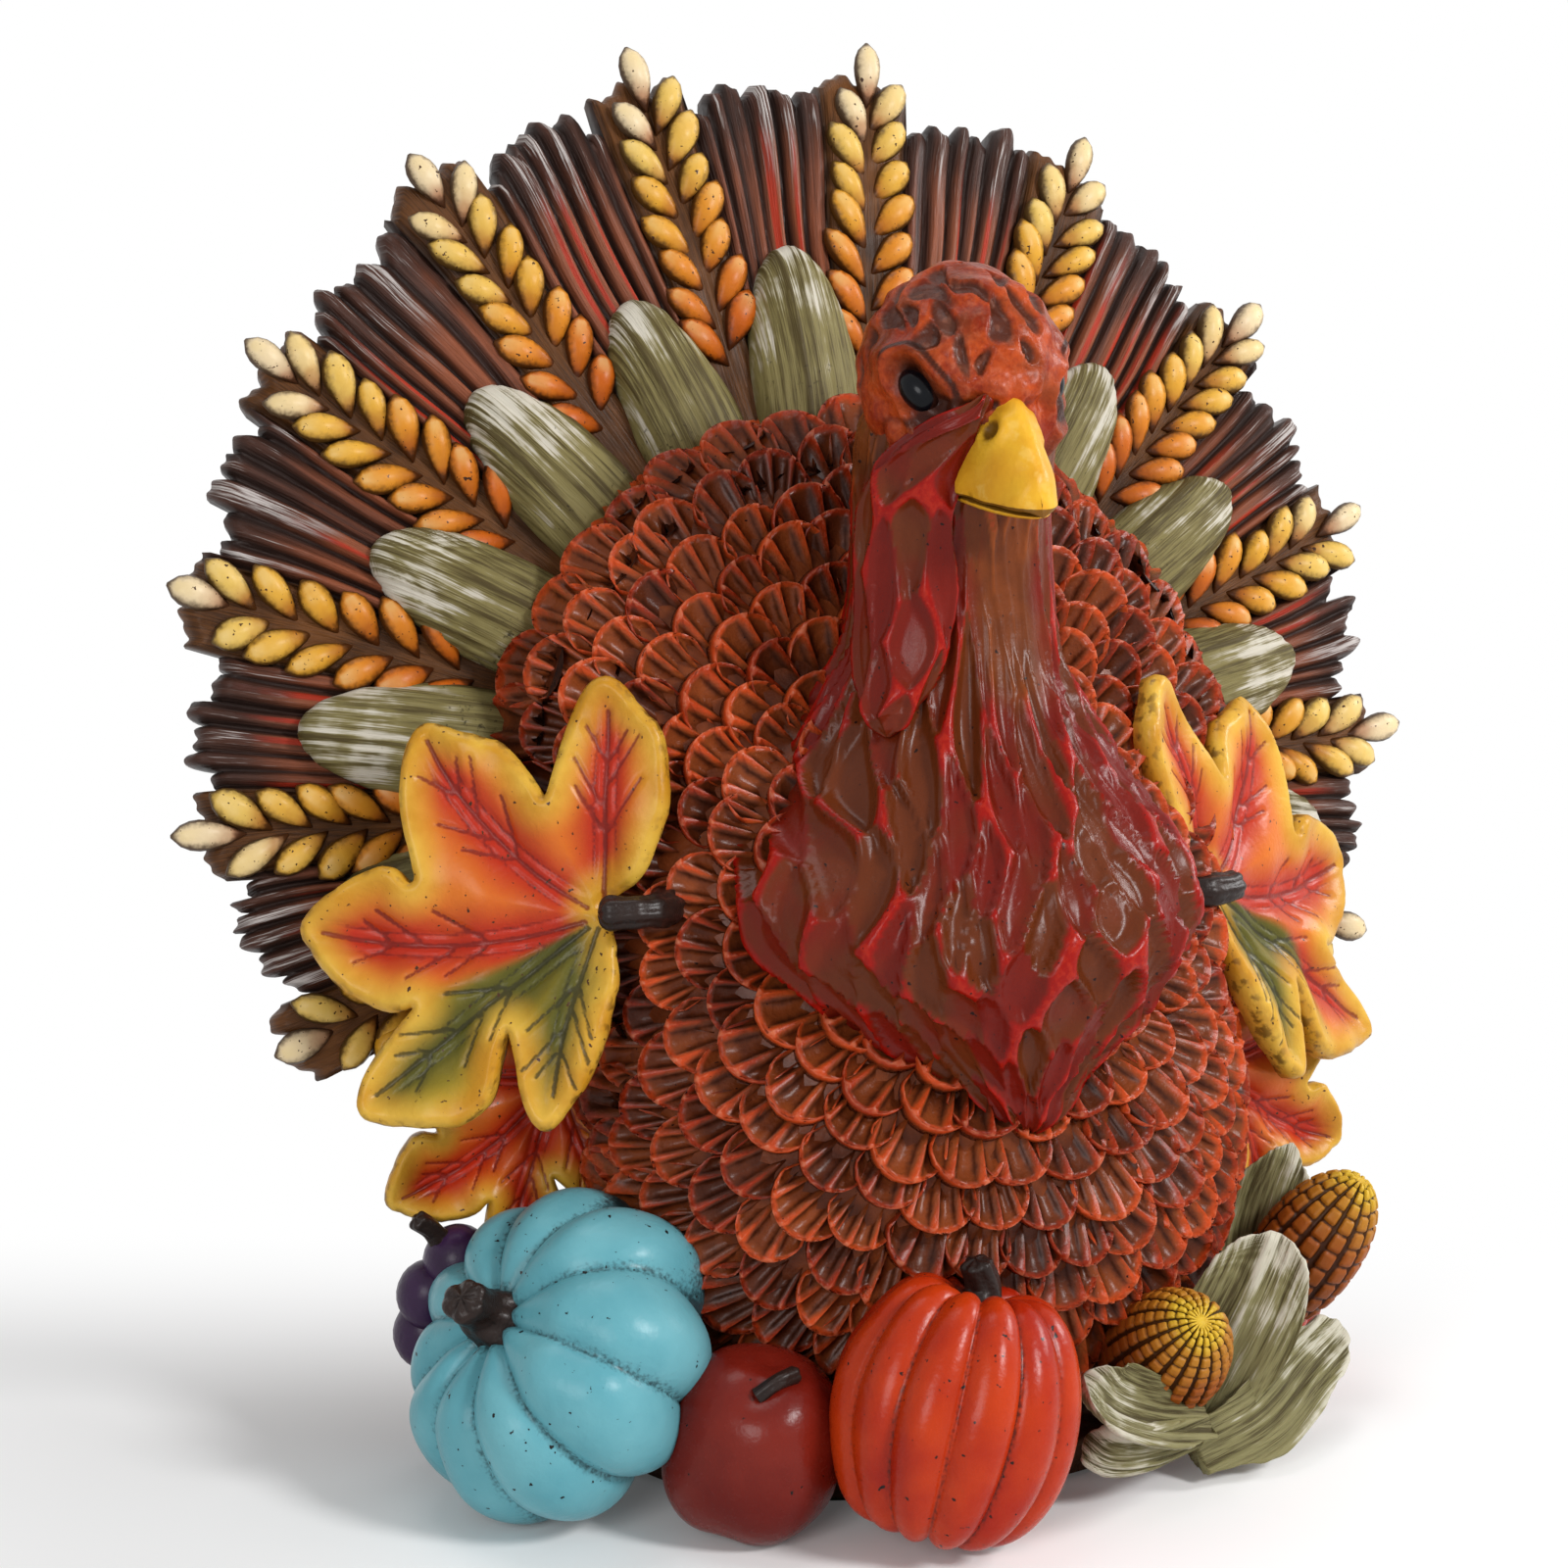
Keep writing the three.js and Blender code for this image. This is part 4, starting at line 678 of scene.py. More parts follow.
class Shade:
    """A value in a material's node tree. Arithmetic on it adds Math nodes."""

    def __init__(self, tree, socket=None):
        self.tree = tree
        self.socket = socket

    def node(self, kind, settings=None, inputs=None, output=0):
        """A new node of the tree, and one of its outputs."""
        made = self.tree.nodes.new(kind)
        for key, value in (settings or {}).items():
            if key == "stops":
                self.set_stops(made.color_ramp, value)
            else:
                setattr(made, key, value)
        self.feed(made.inputs, inputs or {})
        return Shade(self.tree, made.outputs[output] if made.outputs else None)

    def feed(self, inputs, values):
        """Links or sets the inputs of a node."""
        for key, value in values.items():
            if isinstance(value, Shade):
                self.tree.links.new(value.socket, inputs[key])
            else:
                inputs[key].default_value = value

    @staticmethod
    def set_stops(ramp, stops):
        while len(ramp.elements) < len(stops):
            ramp.elements.new(1.0)
        for element, (place, tint) in zip(ramp.elements, stops):
            element.position = place
            element.color = tint

    def maths(self, operation, first, second):
        return self.node("ShaderNodeMath", {"operation": operation}, {0: first, 1: second})

    def __add__(self, other):
        return self.maths("ADD", self, other)

    def __sub__(self, other):
        return self.maths("SUBTRACT", self, other)

    def __rsub__(self, other):
        return self.maths("SUBTRACT", other, self)

    def __mul__(self, other):
        return self.maths("MULTIPLY", self, other)

    __radd__ = __add__
    __rmul__ = __mul__

    def most(self, other):
        return self.maths("MAXIMUM", self, other)

    def step(self, low, high):
        """A smooth step from 0 at low to 1 at high."""
        values = {"Value": self, "From Min": low, "From Max": high}
        return self.node("ShaderNodeMapRange", {"interpolation_type": "SMOOTHSTEP"}, values)

    def blend(self, first, second):
        """A colour between two, by this value. A colour mix uses these numbers of the node's sockets."""
        return self.node("ShaderNodeMix", {"data_type": "RGBA"}, {0: self, 6: first, 7: second}, 2)

    def ramp(self, *stops):
        return self.node("ShaderNodeValToRGB", {"stops": stops}, {0: self})

    def value(self, name):
        """A value that the mesh carries."""
        return self.node("ShaderNodeAttribute", {"attribute_name": name}, output="Fac")

    def noise(self, size, detail=3.0):
        """Noise with grains of about a size in millimetres."""
        place = self.node("ShaderNodeTexCoord", output="Object")
        values = {"Vector": place, "Scale": 1 / (size * MM), "Detail": detail}
        return self.node("ShaderNodeTexNoise", inputs=values)

    def streaks(self, across, along, detail=4.0):
        """Noise over two of the mesh's own values, for lines that run along a piece."""
        place = self.node("ShaderNodeCombineXYZ", inputs={"X": across, "Y": along})
        return self.node("ShaderNodeTexNoise", inputs={"Vector": place, "Scale": 1.0, "Detail": detail})

    def specks(self, size, share):
        """1 in scattered specks of about a size, 0 elsewhere."""
        return self.noise(size, 2.0).step(1 - share, 1 - share + SPECK_SOFTNESS)

    def bump(self, height, distance):
        values = {"Height": height, "Distance": distance * MM, "Strength": 1.0}
        return self.node("ShaderNodeBump", inputs=values)


def material(name, paint, coat=0.0, specular=0.12):
    """A resin paint. paint(shade) gives the values of the shader's sockets."""
    made = bpy.data.materials.new(name)
    made.use_nodes = True
    shader = made.node_tree.nodes["Principled BSDF"]
    shade = Shade(made.node_tree)
    gloss = {"Specular IOR Level": specular, "Coat Weight": coat, "Coat Roughness": COAT_ROUGHNESS}
    shade.feed(shader.inputs, {**gloss, **paint(shade)})
    return made


def feather_paint(s):
    relief = s.value("relief")
    tone = s.value("tone")
    patch = s.noise(10.0)
    grit = s.noise(1.1)
    hollow = (patch + (tone - 0.5) * 0.4).step(0.3, 0.7).blend(colour("4c2210"), colour("7e3e1d"))
    rim = (patch + (tone - 0.5) * 0.7).step(0.25, 0.8).blend(colour("8e270c"), colour("bc451b"))
    brushed = (relief + (grit - 0.5) * 0.5 + (patch - 0.5) * 0.4).step(0.25, 0.95)
    # Painted shade at the foot of the hollows' walls and under the feather above, also rougher there
    shade_share = (s.value("wash") + (grit - 0.5) * 0.6).step(0.35, 1.1) * 0.8
    base = shade_share.blend(brushed.blend(hollow, rim), colour("260f07"))
    # Painted highlight: paler tops of the ridges and rim
    painted_highlight = (relief + (grit - 0.5) * 0.8).step(0.8, 1.2)
    lit = (painted_highlight * 0.4).blend(base, colour("cf8c6a"))
    return {
        "Base Color": s.specks(1.2, 0.27).blend(lit, colour("1c0e0a")),
        "Roughness": 0.14 + grit * 0.2 + shade_share * 0.4,
        "Normal": s.bump(grit, 0.3),
    }


def skin_paint(s):
    """Red skin with smooth ridges round dark hollows, and rust where it is warm."""
    relief = s.value("relief")
    tone = s.value("tone")
    warm = s.value("warm")
    patch = s.noise(12.0)
    grit = s.noise(1.2)
    floor = (tone + (patch - 0.5) * 0.9).step(0.2, 0.8).blend(colour("6a150b"), colour("5e2a11"))
    red = (relief + (patch - 0.5) * 0.4 + (grit - 0.5) * 0.3).step(0.25, 0.95)
    base = red.blend(floor, colour("8c0f07"))
    rusty = (relief * 0.5 + (patch - 0.5) * 1.2 + 0.35).step(0.0, 0.9)
    rust = rusty.blend(colour("4a220f"), colour("824018"))
    skin = (warm + (patch - 0.5) * 0.5).step(0.25, 0.85).blend(base, rust)
    # Painted highlight: brighter red flecks on the tops of the ridges
    lit = (relief.step(0.8, 1.05) * grit.step(0.42, 0.6) * 0.25).blend(skin, colour("c23a20"))
    return {
        "Base Color": s.specks(1.2, 0.3).blend(lit, colour("1c0c0a")),
        "Roughness": 0.14 + grit * 0.2,
        "Normal": s.bump(grit, 0.2),
    }


def head_paint(s):
    spot = s.value("spot")
    crease = s.value("crease")
    patch = s.noise(7.0)
    grit = s.noise(1.0)
    rust = (patch + (grit - 0.5) * 0.5).step(0.3, 0.7).blend(colour("80250d"), colour("aa441a"))
    brown = s.noise(9.0).step(0.46, 0.66) * 0.6
    spots = (spot + (s.noise(2.2) - 0.5) * 0.6).step(0.05, 0.8)
    base = (spots * 0.9).blend(brown.blend(rust, colour("643016")), colour("402218"))
    # Pale patches at random: wear, and painted sheen
    wear_and_sheen = (s.noise(2.0).step(0.55, 0.7) + s.noise(8.0).step(0.55, 0.75)) * 0.14
    lit = wear_and_sheen.blend(base, colour("b87a62"))
    return {
        # Painted shade in the face's creases
        "Base Color": (crease.step(0.2, 0.85) * 0.88).blend(lit, colour("200e08")),
        "Roughness": 0.2 + grit * 0.2,
        "Normal": s.bump(grit, 0.35),
    }


def beak_paint(s):
    crease = s.value("crease")
    patch = s.noise(8.0)
    grit = s.noise(0.9)
    base = patch.step(0.3, 0.7).blend(colour("c88d1e"), colour("d9a62c"))
    # Painted shade in the nostril and along the mouth
    wash = (crease + (grit - 0.5) * 0.5).step(0.35, 0.8)
    pale = (s.noise(3.0).step(0.56, 0.7) * 0.4).blend(base, colour("dcb860"))
    return {
        "Base Color": (wash * 0.85).blend(pale, colour("4a280c")),
        "Roughness": 0.3 + grit * 0.15,
        "Normal": s.bump(grit, 0.1),
    }


def eye_paint(s):
    ring = s.value("crease")
    return {
        "Base Color": ring.step(0.3, 0.7).blend(colour("06080d"), colour("2b130d")),
        "Roughness": 0.12 + ring * 0.3,
    }


def bark_paint(s):
    relief = s.value("relief")
    reach = s.value("reach")
    fibre = s.streaks(s.value("around") * 2.4, reach * 7.0)
    fine = s.streaks(s.value("around") * 7.0, reach * 16.0)
    grit = s.noise(1.0)
    patch = s.noise(11.0)
    crest = relief + (fibre - 0.5) * 0.8
    brown = crest.step(0.25, 1.0).blend(colour("33201a"), colour("80472f"))
    inside = (reach + (patch - 0.5) * 0.2).step(0.92, 0.8)
    red = (s.value("streak") + (fibre - 0.5) * 0.5).step(0.25, 0.6) * inside
    warm = (red * 0.9).blend(brown, colour("a02c18"))
    burnt = (reach + (patch - 0.5) * 0.14).step(0.77, 0.9)
    tips = (burnt * 0.8).blend(warm, colour("261c19"))
    silver = (reach + (patch - 0.5) * 0.1).step(0.77, 0.92) * (crest + (fine - 0.5) * 1.8).step(0.9, 1.25)
    ribbed = (silver * 0.8).blend(tips, colour("bfb8b4"))
    ground = (patch + (fine - 0.5) * 0.8).step(0.2, 0.8).blend(colour("37200f"), colour("68401f"))
    shaded = (relief.step(0.5, 0.1) * 0.5).blend(ground, colour("1c0f08"))
    return {
        "Base Color": s.value("strip").blend(ribbed, shaded),
        "Roughness": 0.28 + grit * 0.22,
        "Normal": s.bump(fine, 0.35),
    }


def wheat_paint(s):
    ripe = s.value("tone")
    relief = s.value("relief")
    grit = s.noise(0.9)
    patch = s.noise(5.0)
    ripened = ripe + (patch - 0.5) * 0.12
    base = ripened.ramp(
        (0.0, colour("b85810")), (0.3, colour("c67a1f")), (0.55, colour("c9952f")),
        (0.78, colour("cdaa55")), (0.95, colour("d2bd98")),
    )
    reach = s.value("reach")
    # Painted highlight on each grain's front towards its tip
    grain_highlight = (reach + (patch - 0.5) * 0.5).step(0.5, 0.9) * relief.step(0.55, 1.0)
    pale = (grain_highlight * 0.5).blend(base, colour("dcc488"))
    # Painted shade at each grain's foot
    foot = (reach + (patch - 0.5) * 0.5).step(0.55, 0.1)
    with_shaded_foot = (foot * 0.75).blend(pale, colour("8a3c0c"))
    # Painted shade round each grain's sides and on its back
    wash = (relief + (grit - 0.5) * 0.5 + (patch - 0.5) * 0.5).step(0.75, 0.2)
    with_painted_shade = (wash * 0.92).blend(with_shaded_foot, colour("331808"))
    return {
        "Base Color": s.specks(0.9, 0.33).blend(with_painted_shade, colour("3a1f10")),
        "Roughness": 0.33 + grit * 0.2,
        "Normal": s.bump(grit, 0.1),
    }


def husk_paint(green, pale, deep, brush_start, shade_root_reach):
    """Green husk with pale brushed ridges, dark grooves, and painted shade towards its root."""
    def paint(s):
        relief = s.value("relief")
        reach = s.value("reach")
        fibre = s.streaks(s.value("across") * 13.0, reach * 2.6)
        fine = s.streaks(s.value("across") * 42.0, reach * 6.0)
        patch = s.noise(9.0)
        grit = s.noise(1.0)
        ridge = relief * 0.5 + fibre * 0.5 + (fine - 0.5) * 0.7
        base = (ridge + (patch - 0.5) * 0.3).step(0.25, 0.6).blend(colour(deep), colour(green))
        brush = (ridge + (patch - 0.5) * 1.1 + (reach - 0.6) * 0.6).step(brush_start, brush_start + 0.3)
        pale_base = (brush * 0.8).blend(base, colour(pale))
        # Painted shade towards the root, broken into specks
        grime = (shade_root_reach - reach + (grit - 0.5) * 2.2 + (patch - 0.5)).step(0.25, 0.6)
        return {
            "Base Color": (grime * 0.85).blend(pale_base, colour("211a0c")),
            "Roughness": 0.36 + grit * 0.22,
            "Normal": s.bump(fine * 0.6 + fibre * 0.4, 0.4),
        }
    return paint


def leaf_paint(s):
    edge = s.value("edge")
    vein = s.value("vein")
    green = s.value("green")
    scratch = s.value("scratch")
    patch = s.noise(9.0)
    grit = s.noise(0.9)
    inner = (edge + (patch - 0.5) * 3.0).step(0.8, 7.5)
    core = (vein + (patch - 0.5) * 4.0).step(9.0, 1.0)
    warm = core.blend(colour("c8691f"), colour("a8260f"))
    leafy = core.blend(colour("8f7a1e"), colour("4c4a14"))
    fill = green.step(0.3, 0.7).blend(warm, leafy)
    yellow = patch.step(0.3, 0.7).blend(colour("b8801c"), colour("d0a63e"))
    base = inner.blend(yellow, fill)
    line = (scratch + (grit - 0.5) * 0.5 + (s.noise(5.0) - 0.5) * 0.5).step(0.35, 0.75)
    ink = green.step(0.4, 0.6).blend(colour("6c150d"), colour("28260e"))
    drawn = (line * 0.8).blend(base, ink)
    rough_edge = edge.step(1.4, -1.2) * s.noise(2.4, 4.0).step(0.5, 0.64)
    back = s.value("behind")
    faced = (rough_edge * 0.8).blend(drawn, colour("4a2c10"))
    behind = patch.blend(colour("6b3a14"), colour("a0702a"))
    return {
        "Base Color": s.specks(1.1, 0.31).blend(back.blend(faced, behind), colour("40220f")),
        "Roughness": 0.3 + grit * 0.2,
        "Normal": s.bump(grit, 0.12),
    }


def fruit_paint(skin, pale, shade_tint, shade_reach, speck_share, rough):
    """A ribbed fruit with painted shade in its creases, where it meets the body and near the floor, and
    scattered specks.
    """
    def paint(s):
        crease = s.value("crease")
        grime = s.value("grime")
        patch = s.noise(14.0)
        grit = s.noise(1.2)
        base = patch.step(0.25, 0.75).blend(colour(skin), colour(pale))
        speckle = s.noise(0.7)
        # Painted shade in the creases and near the body and floor, broken up by speckle
        shade_amount = crease + grime * 0.75 + (speckle - 0.5) * 0.8
        wash = shade_amount.step(1 - shade_reach, 1.05)
        with_painted_shade = (wash * 0.85).blend(base, colour(shade_tint))
        return {
            "Base Color": s.specks(1.5, speck_share).blend(with_painted_shade, colour("15100f")),
            "Roughness": rough + grit * 0.15,
            "Normal": s.bump(grit, 0.12),
        }
    return paint


def corn_paint(s):
    relief = s.value("relief")
    reach = s.value("reach")
    grit = s.noise(0.9)
    patch = s.noise(6.0)
    ripe = (reach + (patch - 0.5) * 0.25).ramp(
        (0.0, colour("6c320e")), (0.7, colour("8c4814")), (0.92, colour("a87220")), (1.0, colour("c8a52c")),
    )
    line = (relief + (grit - 0.5) * 0.4).step(0.62, 0.25)
    return {
        "Base Color": (line * 0.92).blend(ripe, colour("281206")),
        "Roughness": 0.38 + grit * 0.2,
        "Normal": s.bump(grit, 0.12),
    }


def plain_paint(first, second, size, rough, depth):
    """A stained surface with no other pattern."""
    def paint(s):
        patch = s.noise(size)
        grit = s.noise(0.9)
        return {
            "Base Color": patch.blend(colour(first), colour(second)),
            "Roughness": rough + grit * 0.15,
            "Normal": s.bump(grit, depth),
        }
    return paint


FEATHER = material("painted_feathers", feather_paint, coat=0.18, specular=0.05)
SKIN = material("red_skin", skin_paint, coat=0.2, specular=0.05)
HEAD = material("rust_head", head_paint, coat=0.15, specular=0.05)
BEAK = material("gold_beak", beak_paint, coat=0.1)
EYE = material("black_eye", eye_paint, coat=0.15, specular=0.08)
BARK = material("burnt_bark", bark_paint, coat=0.06)
WHEAT = material("ripe_wheat", wheat_paint, coat=0.1)
HUSK = material("olive_husk", husk_paint("7a7046", "cbc5b9", "473c20", 0.55, 0.4))
CORN_HUSK = material("grey_husk", husk_paint("7e7852", "c9c4b4", "443b22", 0.55, -0.3))
LEAF = material("maple_leaf", leaf_paint, coat=0.18)
STEM = material("dark_stem", plain_paint("16100e", "30211c", 4.0, 0.26, 0.25), coat=0.15)
TEAL = material("teal_pumpkin", fruit_paint("5596a2", "69a6b0", "12171a", 0.42, 0.3, 0.24), coat=0.12)
ORANGE = material("orange_pumpkin", fruit_paint("951a07", "b1350c", "360c06", 0.36, 0.31, 0.2), coat=0.15)
APPLE = material("red_apple", fruit_paint("5c0f08", "701d12", "220705", 0.3, 0.28, 0.18), coat=0.15)
CORN = material("yellow_corn", corn_paint, coat=0.1)
GRAPE = material("purple_grape", plain_paint("201026", "3d2348", 6.0, 0.3, 0.12), coat=0.2)
GROUND = material("brown_ground", plain_paint("2a170d", "4a2c18", 9.0, 0.6, 0.5))
FELT = material("green_felt", plain_paint("141d10", "222e1a", 2.0, 0.9, 0.6))


# Body skin
def lump_depth(points, lump):
    """How deep points lie inside a lump, in millimetres, below 0 outside."""
    local = points - np.asarray(lump["middle"], float)
    lean = math.radians(lump["lean"])
    beside = local[..., 0] / lump["width"]
    rise = (local[..., 2] * math.cos(lean) + local[..., 1] * math.sin(lean)) / lump["height"]
    depth = local[..., 1] * math.cos(lean) - local[..., 2] * math.sin(lean)
    depth = depth / np.where(depth < 0, lump["front"], lump["back"])
    return (1 - np.sqrt(beside ** 2 + rise ** 2 + depth ** 2)) * (lump["width"] + lump["front"]) / 2


def body_depth(points):
    whole = lump_depth(points, BODY_LUMPS[0])
    for lump in BODY_LUMPS[1:]:
        other = lump_depth(points, lump)
        whole = (whole + other + np.sqrt((whole - other) ** 2 + BODY_BLEND ** 2)) / 2
    return whole - BODY_BLEND / 2


def body_skin(origins, directions):
    """Points where lines from inside the body come out of it."""
    low = np.zeros(directions.shape[:-1])
    high = np.full(directions.shape[:-1], BODY_REACH)
    for _ in range(BODY_HALVINGS):
        middle = (low + high) / 2
        inside = body_depth(origins + directions * middle[..., None]) > 0
        low = np.where(inside, middle, low)
        high = np.where(inside, high, middle)
    return origins + directions * low[..., None]


def body_out(point):
    """The outward direction of the body's skin."""
    steps = np.eye(3) * SLOPE_STEP
    slope = [body_depth(point + step) - body_depth(point - step) for step in steps]
    return -unit(np.array(slope))


def make_body():
    rows, columns = 90, 140
    elevation = pole_angles(rows)[:, None]
    angle = ring_angles(columns)[None, :]
    level = np.cos(elevation)
    rise = np.broadcast_to(np.sin(elevation), (rows, columns))
    directions = np.stack([level * np.cos(angle), level * np.sin(angle), rise], -1)
    points = body_skin(np.broadcast_to(BODY_CORE, directions.shape), directions)
    points[..., 2] = np.maximum(points[..., 2], PLATE_TOP)
    return closed_grid("body_core", points, {"relief": 0.12, "tone": 0.5})


# Body feathers
def feather_unit(name, folds):
    """A tongue of unit half width: long hollows side by side inside a raised round rim, closed below."""
    places = np.append(np.arange(folds)[:, None] + FOLD_PLACES, folds) / folds * 2 - 1
    places = np.concatenate([places[:1], places, places[-1:]])
    fold = np.concatenate([[0], np.tile(FOLD_DEPTHS, folds), [0, 0]])
    shade_share = np.concatenate([[0], np.tile(FOLD_SHADE, folds), [0, 0]])
    sunk = np.zeros(len(places), bool)
    sunk[[0, -1]] = True
    rim = np.stack([np.sin(FEATHER_ARC * places), np.cos(FEATHER_ARC * places)], -1)
    root = np.stack([FEATHER_ROOT * places, np.full(len(places), -1.0)], -1)
    points = []
    relief = []
    wash = []
    for share, height, hollow, brushed in FEATHER_ROWS:
        rise = height * (1 - 0.5 * places ** 2) - HOLLOW_DEPTH * hollow * fold
        flat = root + (rim - root) * share
        points.append(np.column_stack([flat, np.where(sunk, FEATHER_FOOT, rise)]))
        # Ridge brightness by row: dimmed at the root and under the lip as painted shade
        relief.append(np.where(sunk, 0, (1 - hollow * np.sqrt(fold)) * brushed))
        # Painted shade at the foot of the hollows' walls, and over the root, which lies under the feather
        # above
        wash.append(np.maximum(hollow * shade_share, share == 0))
    faces = grid_faces(len(points), len(places), meets=False)
    index = np.arange(len(points) * len(places)).reshape(len(points), -1)
    faces.append([*index[:, 0], *index[-1, 1:], *index[-2::-1, -1], *index[0, -2:0:-1]])
    values = {"relief": np.concatenate(relief), "wash": np.concatenate(wash)}
    return write_mesh(name, np.vstack(points) / MM, faces, values)


def feather_at(place, ahead, draw):
    across_sizes, along_sizes, up_sizes = FEATHER_SIZES
    out = body_out(place)
    along = unit(ahead - out * np.dot(ahead, out))
    along = unit(along + np.cross(along, out) * draw.normal(0, FEATHER_TWIST))
    size = FEATHER_WIDTH / 2 * draw.uniform(*across_sizes) * MM
    back = FEATHER_BACK * FEATHER_WIDTH + draw.normal(0, FEATHER_BACK_SPREAD)
    return {
        "place": place - along * back - out * draw.uniform(*FEATHER_SINK),
        "out": unit(out - along * FEATHER_TILT), "along": along,
        "size": (size, size * draw.uniform(*along_sizes), size * draw.uniform(*up_sizes)),
        "tone": draw.random(), "variant": draw.integers(len(FEATHER_FOLDS)),
    }


# Places on the tail, and where feathers grow
def tip_radius(angle):
    return FAN_TIP + FAN_TIP_RISE * np.cos(angle)


def fan_point(angle, radius, lift):
    """A point of the tail: angle from the top, distance from its middle, height in front of it."""
    angle, radius, lift = np.broadcast_arrays(angle, radius, lift)
    depth = FAN_SWEEP * radius / tip_radius(angle) - lift
    rise = radius * np.cos(angle)
    lean = math.radians(FAN_LEAN)
    parts = (
        radius * np.sin(angle),
        depth * math.cos(lean) + rise * math.sin(lean),
        rise * math.cos(lean) - depth * math.sin(lean),
    )
    return FAN_CENTRE + np.stack(parts, -1)


def fan_lift(place):
    """How far a point lies in front of the tail's middle plane, and its angle from the top in degrees."""
    lean = math.radians(FAN_LEAN)
    beside, back, up = place - FAN_CENTRE
    rise = up * math.cos(lean) + back * math.sin(lean)
    depth = back * math.cos(lean) - up * math.sin(lean)
    angle = math.atan2(beside, rise)
    return FAN_SWEEP * math.hypot(beside, rise) / tip_radius(angle) - depth, math.degrees(angle)


def under_bib(place):
    low, high = BIB_COVER
    height = np.array([np.clip(place[2], low, high)])
    middle, width, depth = through(BIB[:, 0], BIB[:, 1:], height)[0]
    share = (place[0] / width) ** 2 + ((place[1] - middle) / depth) ** 2
    return share < BIB_COVER_SHARE and place[2] > low


def ringed_feathers(facing, reach, hidden, draw):
    """Feathers in rings round a pole of the body, their free ends away from it."""
    turns = ring_angles(RING_STEPS)
    tilts = np.linspace(*RING_TILTS, TILT_STEPS)[:, None, None]
    around = np.stack([np.cos(turns), turns * 0, np.sin(turns)], -1)
    directions = np.cos(tilts) * np.array([0.0, facing, 0]) + np.sin(tilts) * around
    skin = body_skin(FEATHER_POLE, directions)
    walked = np.cumsum(np.linalg.norm(np.diff(skin, axis=0), axis=-1), axis=0)
    column = np.arange(len(turns))
    found = []
    for number, distance in enumerate(np.arange(*reach, FEATHER_ROW)):
        row = np.clip((walked < distance).sum(0), 2, len(skin) - 3)
        ring = skin[row, column]
        ahead = skin[row + 2, column] - skin[row - 2, column]
        round_ring = np.cumsum(np.linalg.norm(np.roll(ring, -1, 0) - ring, axis=-1))
        count = max(FEWEST_IN_RING, round(round_ring[-1] / FEATHER_PITCH))
        for k in range(count):
            share = (k + 0.5 * (number % 2) + draw.normal(0, FEATHER_JITTER)) / count % 1
            pick = np.searchsorted(round_ring, share * round_ring[-1]) % len(ring)
            if ring[pick][2] > FEATHER_LOWEST and not hidden(ring[pick]):
                found.append(feather_at(ring[pick], ahead[pick], draw))
    return found


def front_hidden(place):
    lift, angle = fan_lift(place)
    on_tail = lift < TAIL_CLEAR and abs(angle) < TAIL_COVER
    return under_bib(place) or on_tail or place[1] > FRONT_END


def back_hidden(place):
    lift, angle = fan_lift(place)
    return lift > -FAN_THICKNESS and (abs(angle) < TAIL_COVER or place[1] < BACK_START)


def make_feathers():
    draw = np.random.default_rng(FEATHER_SEED)
    front = ringed_feathers(-1, FRONT_REACH, front_hidden, draw)
    back = ringed_feathers(1, BACK_REACH, back_hidden, draw)
    units = [feather_unit(f"feather_{k}", folds) for k, folds in enumerate(FEATHER_FOLDS)]
    return planted("body_feathers", front + back, units, FEATHER)


# Neck, breast and head
def make_bib():
    rows, columns = 250, 240
    low, top = BIB[0, 0], BIB[-1, 0]
    tip_heights = np.linspace(low, BIB_TIP_TOP, BIB_TIP_ROWS, endpoint=False)
    heights = np.concatenate([tip_heights, np.linspace(BIB_TIP_TOP, top, rows - BIB_TIP_ROWS)])
    middle, width, depth = through(BIB[:, 0], BIB[:, 1:], heights).T
    middles = np.stack([np.zeros(rows), middle, heights], -1)
    angles = ring_angles(columns) + math.pi / 2
    width, depth = np.maximum(width, THINNEST), np.maximum(depth, THINNEST)
    points = rings(middles, X_AXIS, Y_AXIS, width, depth, angles)
    leftness = np.clip(-np.cos(angles + 0.35), 0, 1)[None, :] ** 2
    swell = bell(heights - BIB_SWELL_HEIGHT, BIB_SWELL_REACH)[:, None]
    points[..., 0] -= BIB_SWELL * leftness * swell
    front = points[:, columns // 2]
    steps = np.linalg.norm(np.diff(front, axis=0), axis=-1)
    walked = np.concatenate([[0], np.cumsum(steps / np.interp(heights[1:], *BIB_CELL_LENGTHS))])
    across = np.broadcast_to(np.arange(columns) * BIB_CELLS / columns, (rows, columns))
    along = np.broadcast_to(walked[:, None], (rows, columns)) + 0.12 * np.abs(across - BIB_CELLS / 2)
    along = along + 0.22 * wobble(points, 60, 6)
    across = (across + 0.7 * wobble(points, 40, 5)) % BIB_CELLS
    depth_in, tone = gouges(across, along, BIB_CELLS, 21)
    hollow = smooth(-0.15, 0.6, depth_in)
    deep = np.interp(heights, *BIB_GOUGE_DEPTHS)[:, None]
    height = deep * (0.5 - hollow * (0.7 + 0.5 * tone)) + 0.7 * wobble(points, 30, 8)
    aside = np.degrees(angles)[None, :] - NECK_FRONT
    throat = bell(aside, THROAT_WIDTH) * smooth(*THROAT_START, heights)[:, None]
    nape = smooth(*NAPE_START, heights)[:, None] * smooth(-150, -60, -np.abs(aside + 45))
    values = {
        "relief": 1 - smooth(0.0, 0.26, depth_in), "tone": tone, "warm": np.maximum(throat, nape),
    }
    return closed_grid("neck_and_breast", raised(points, height), values)


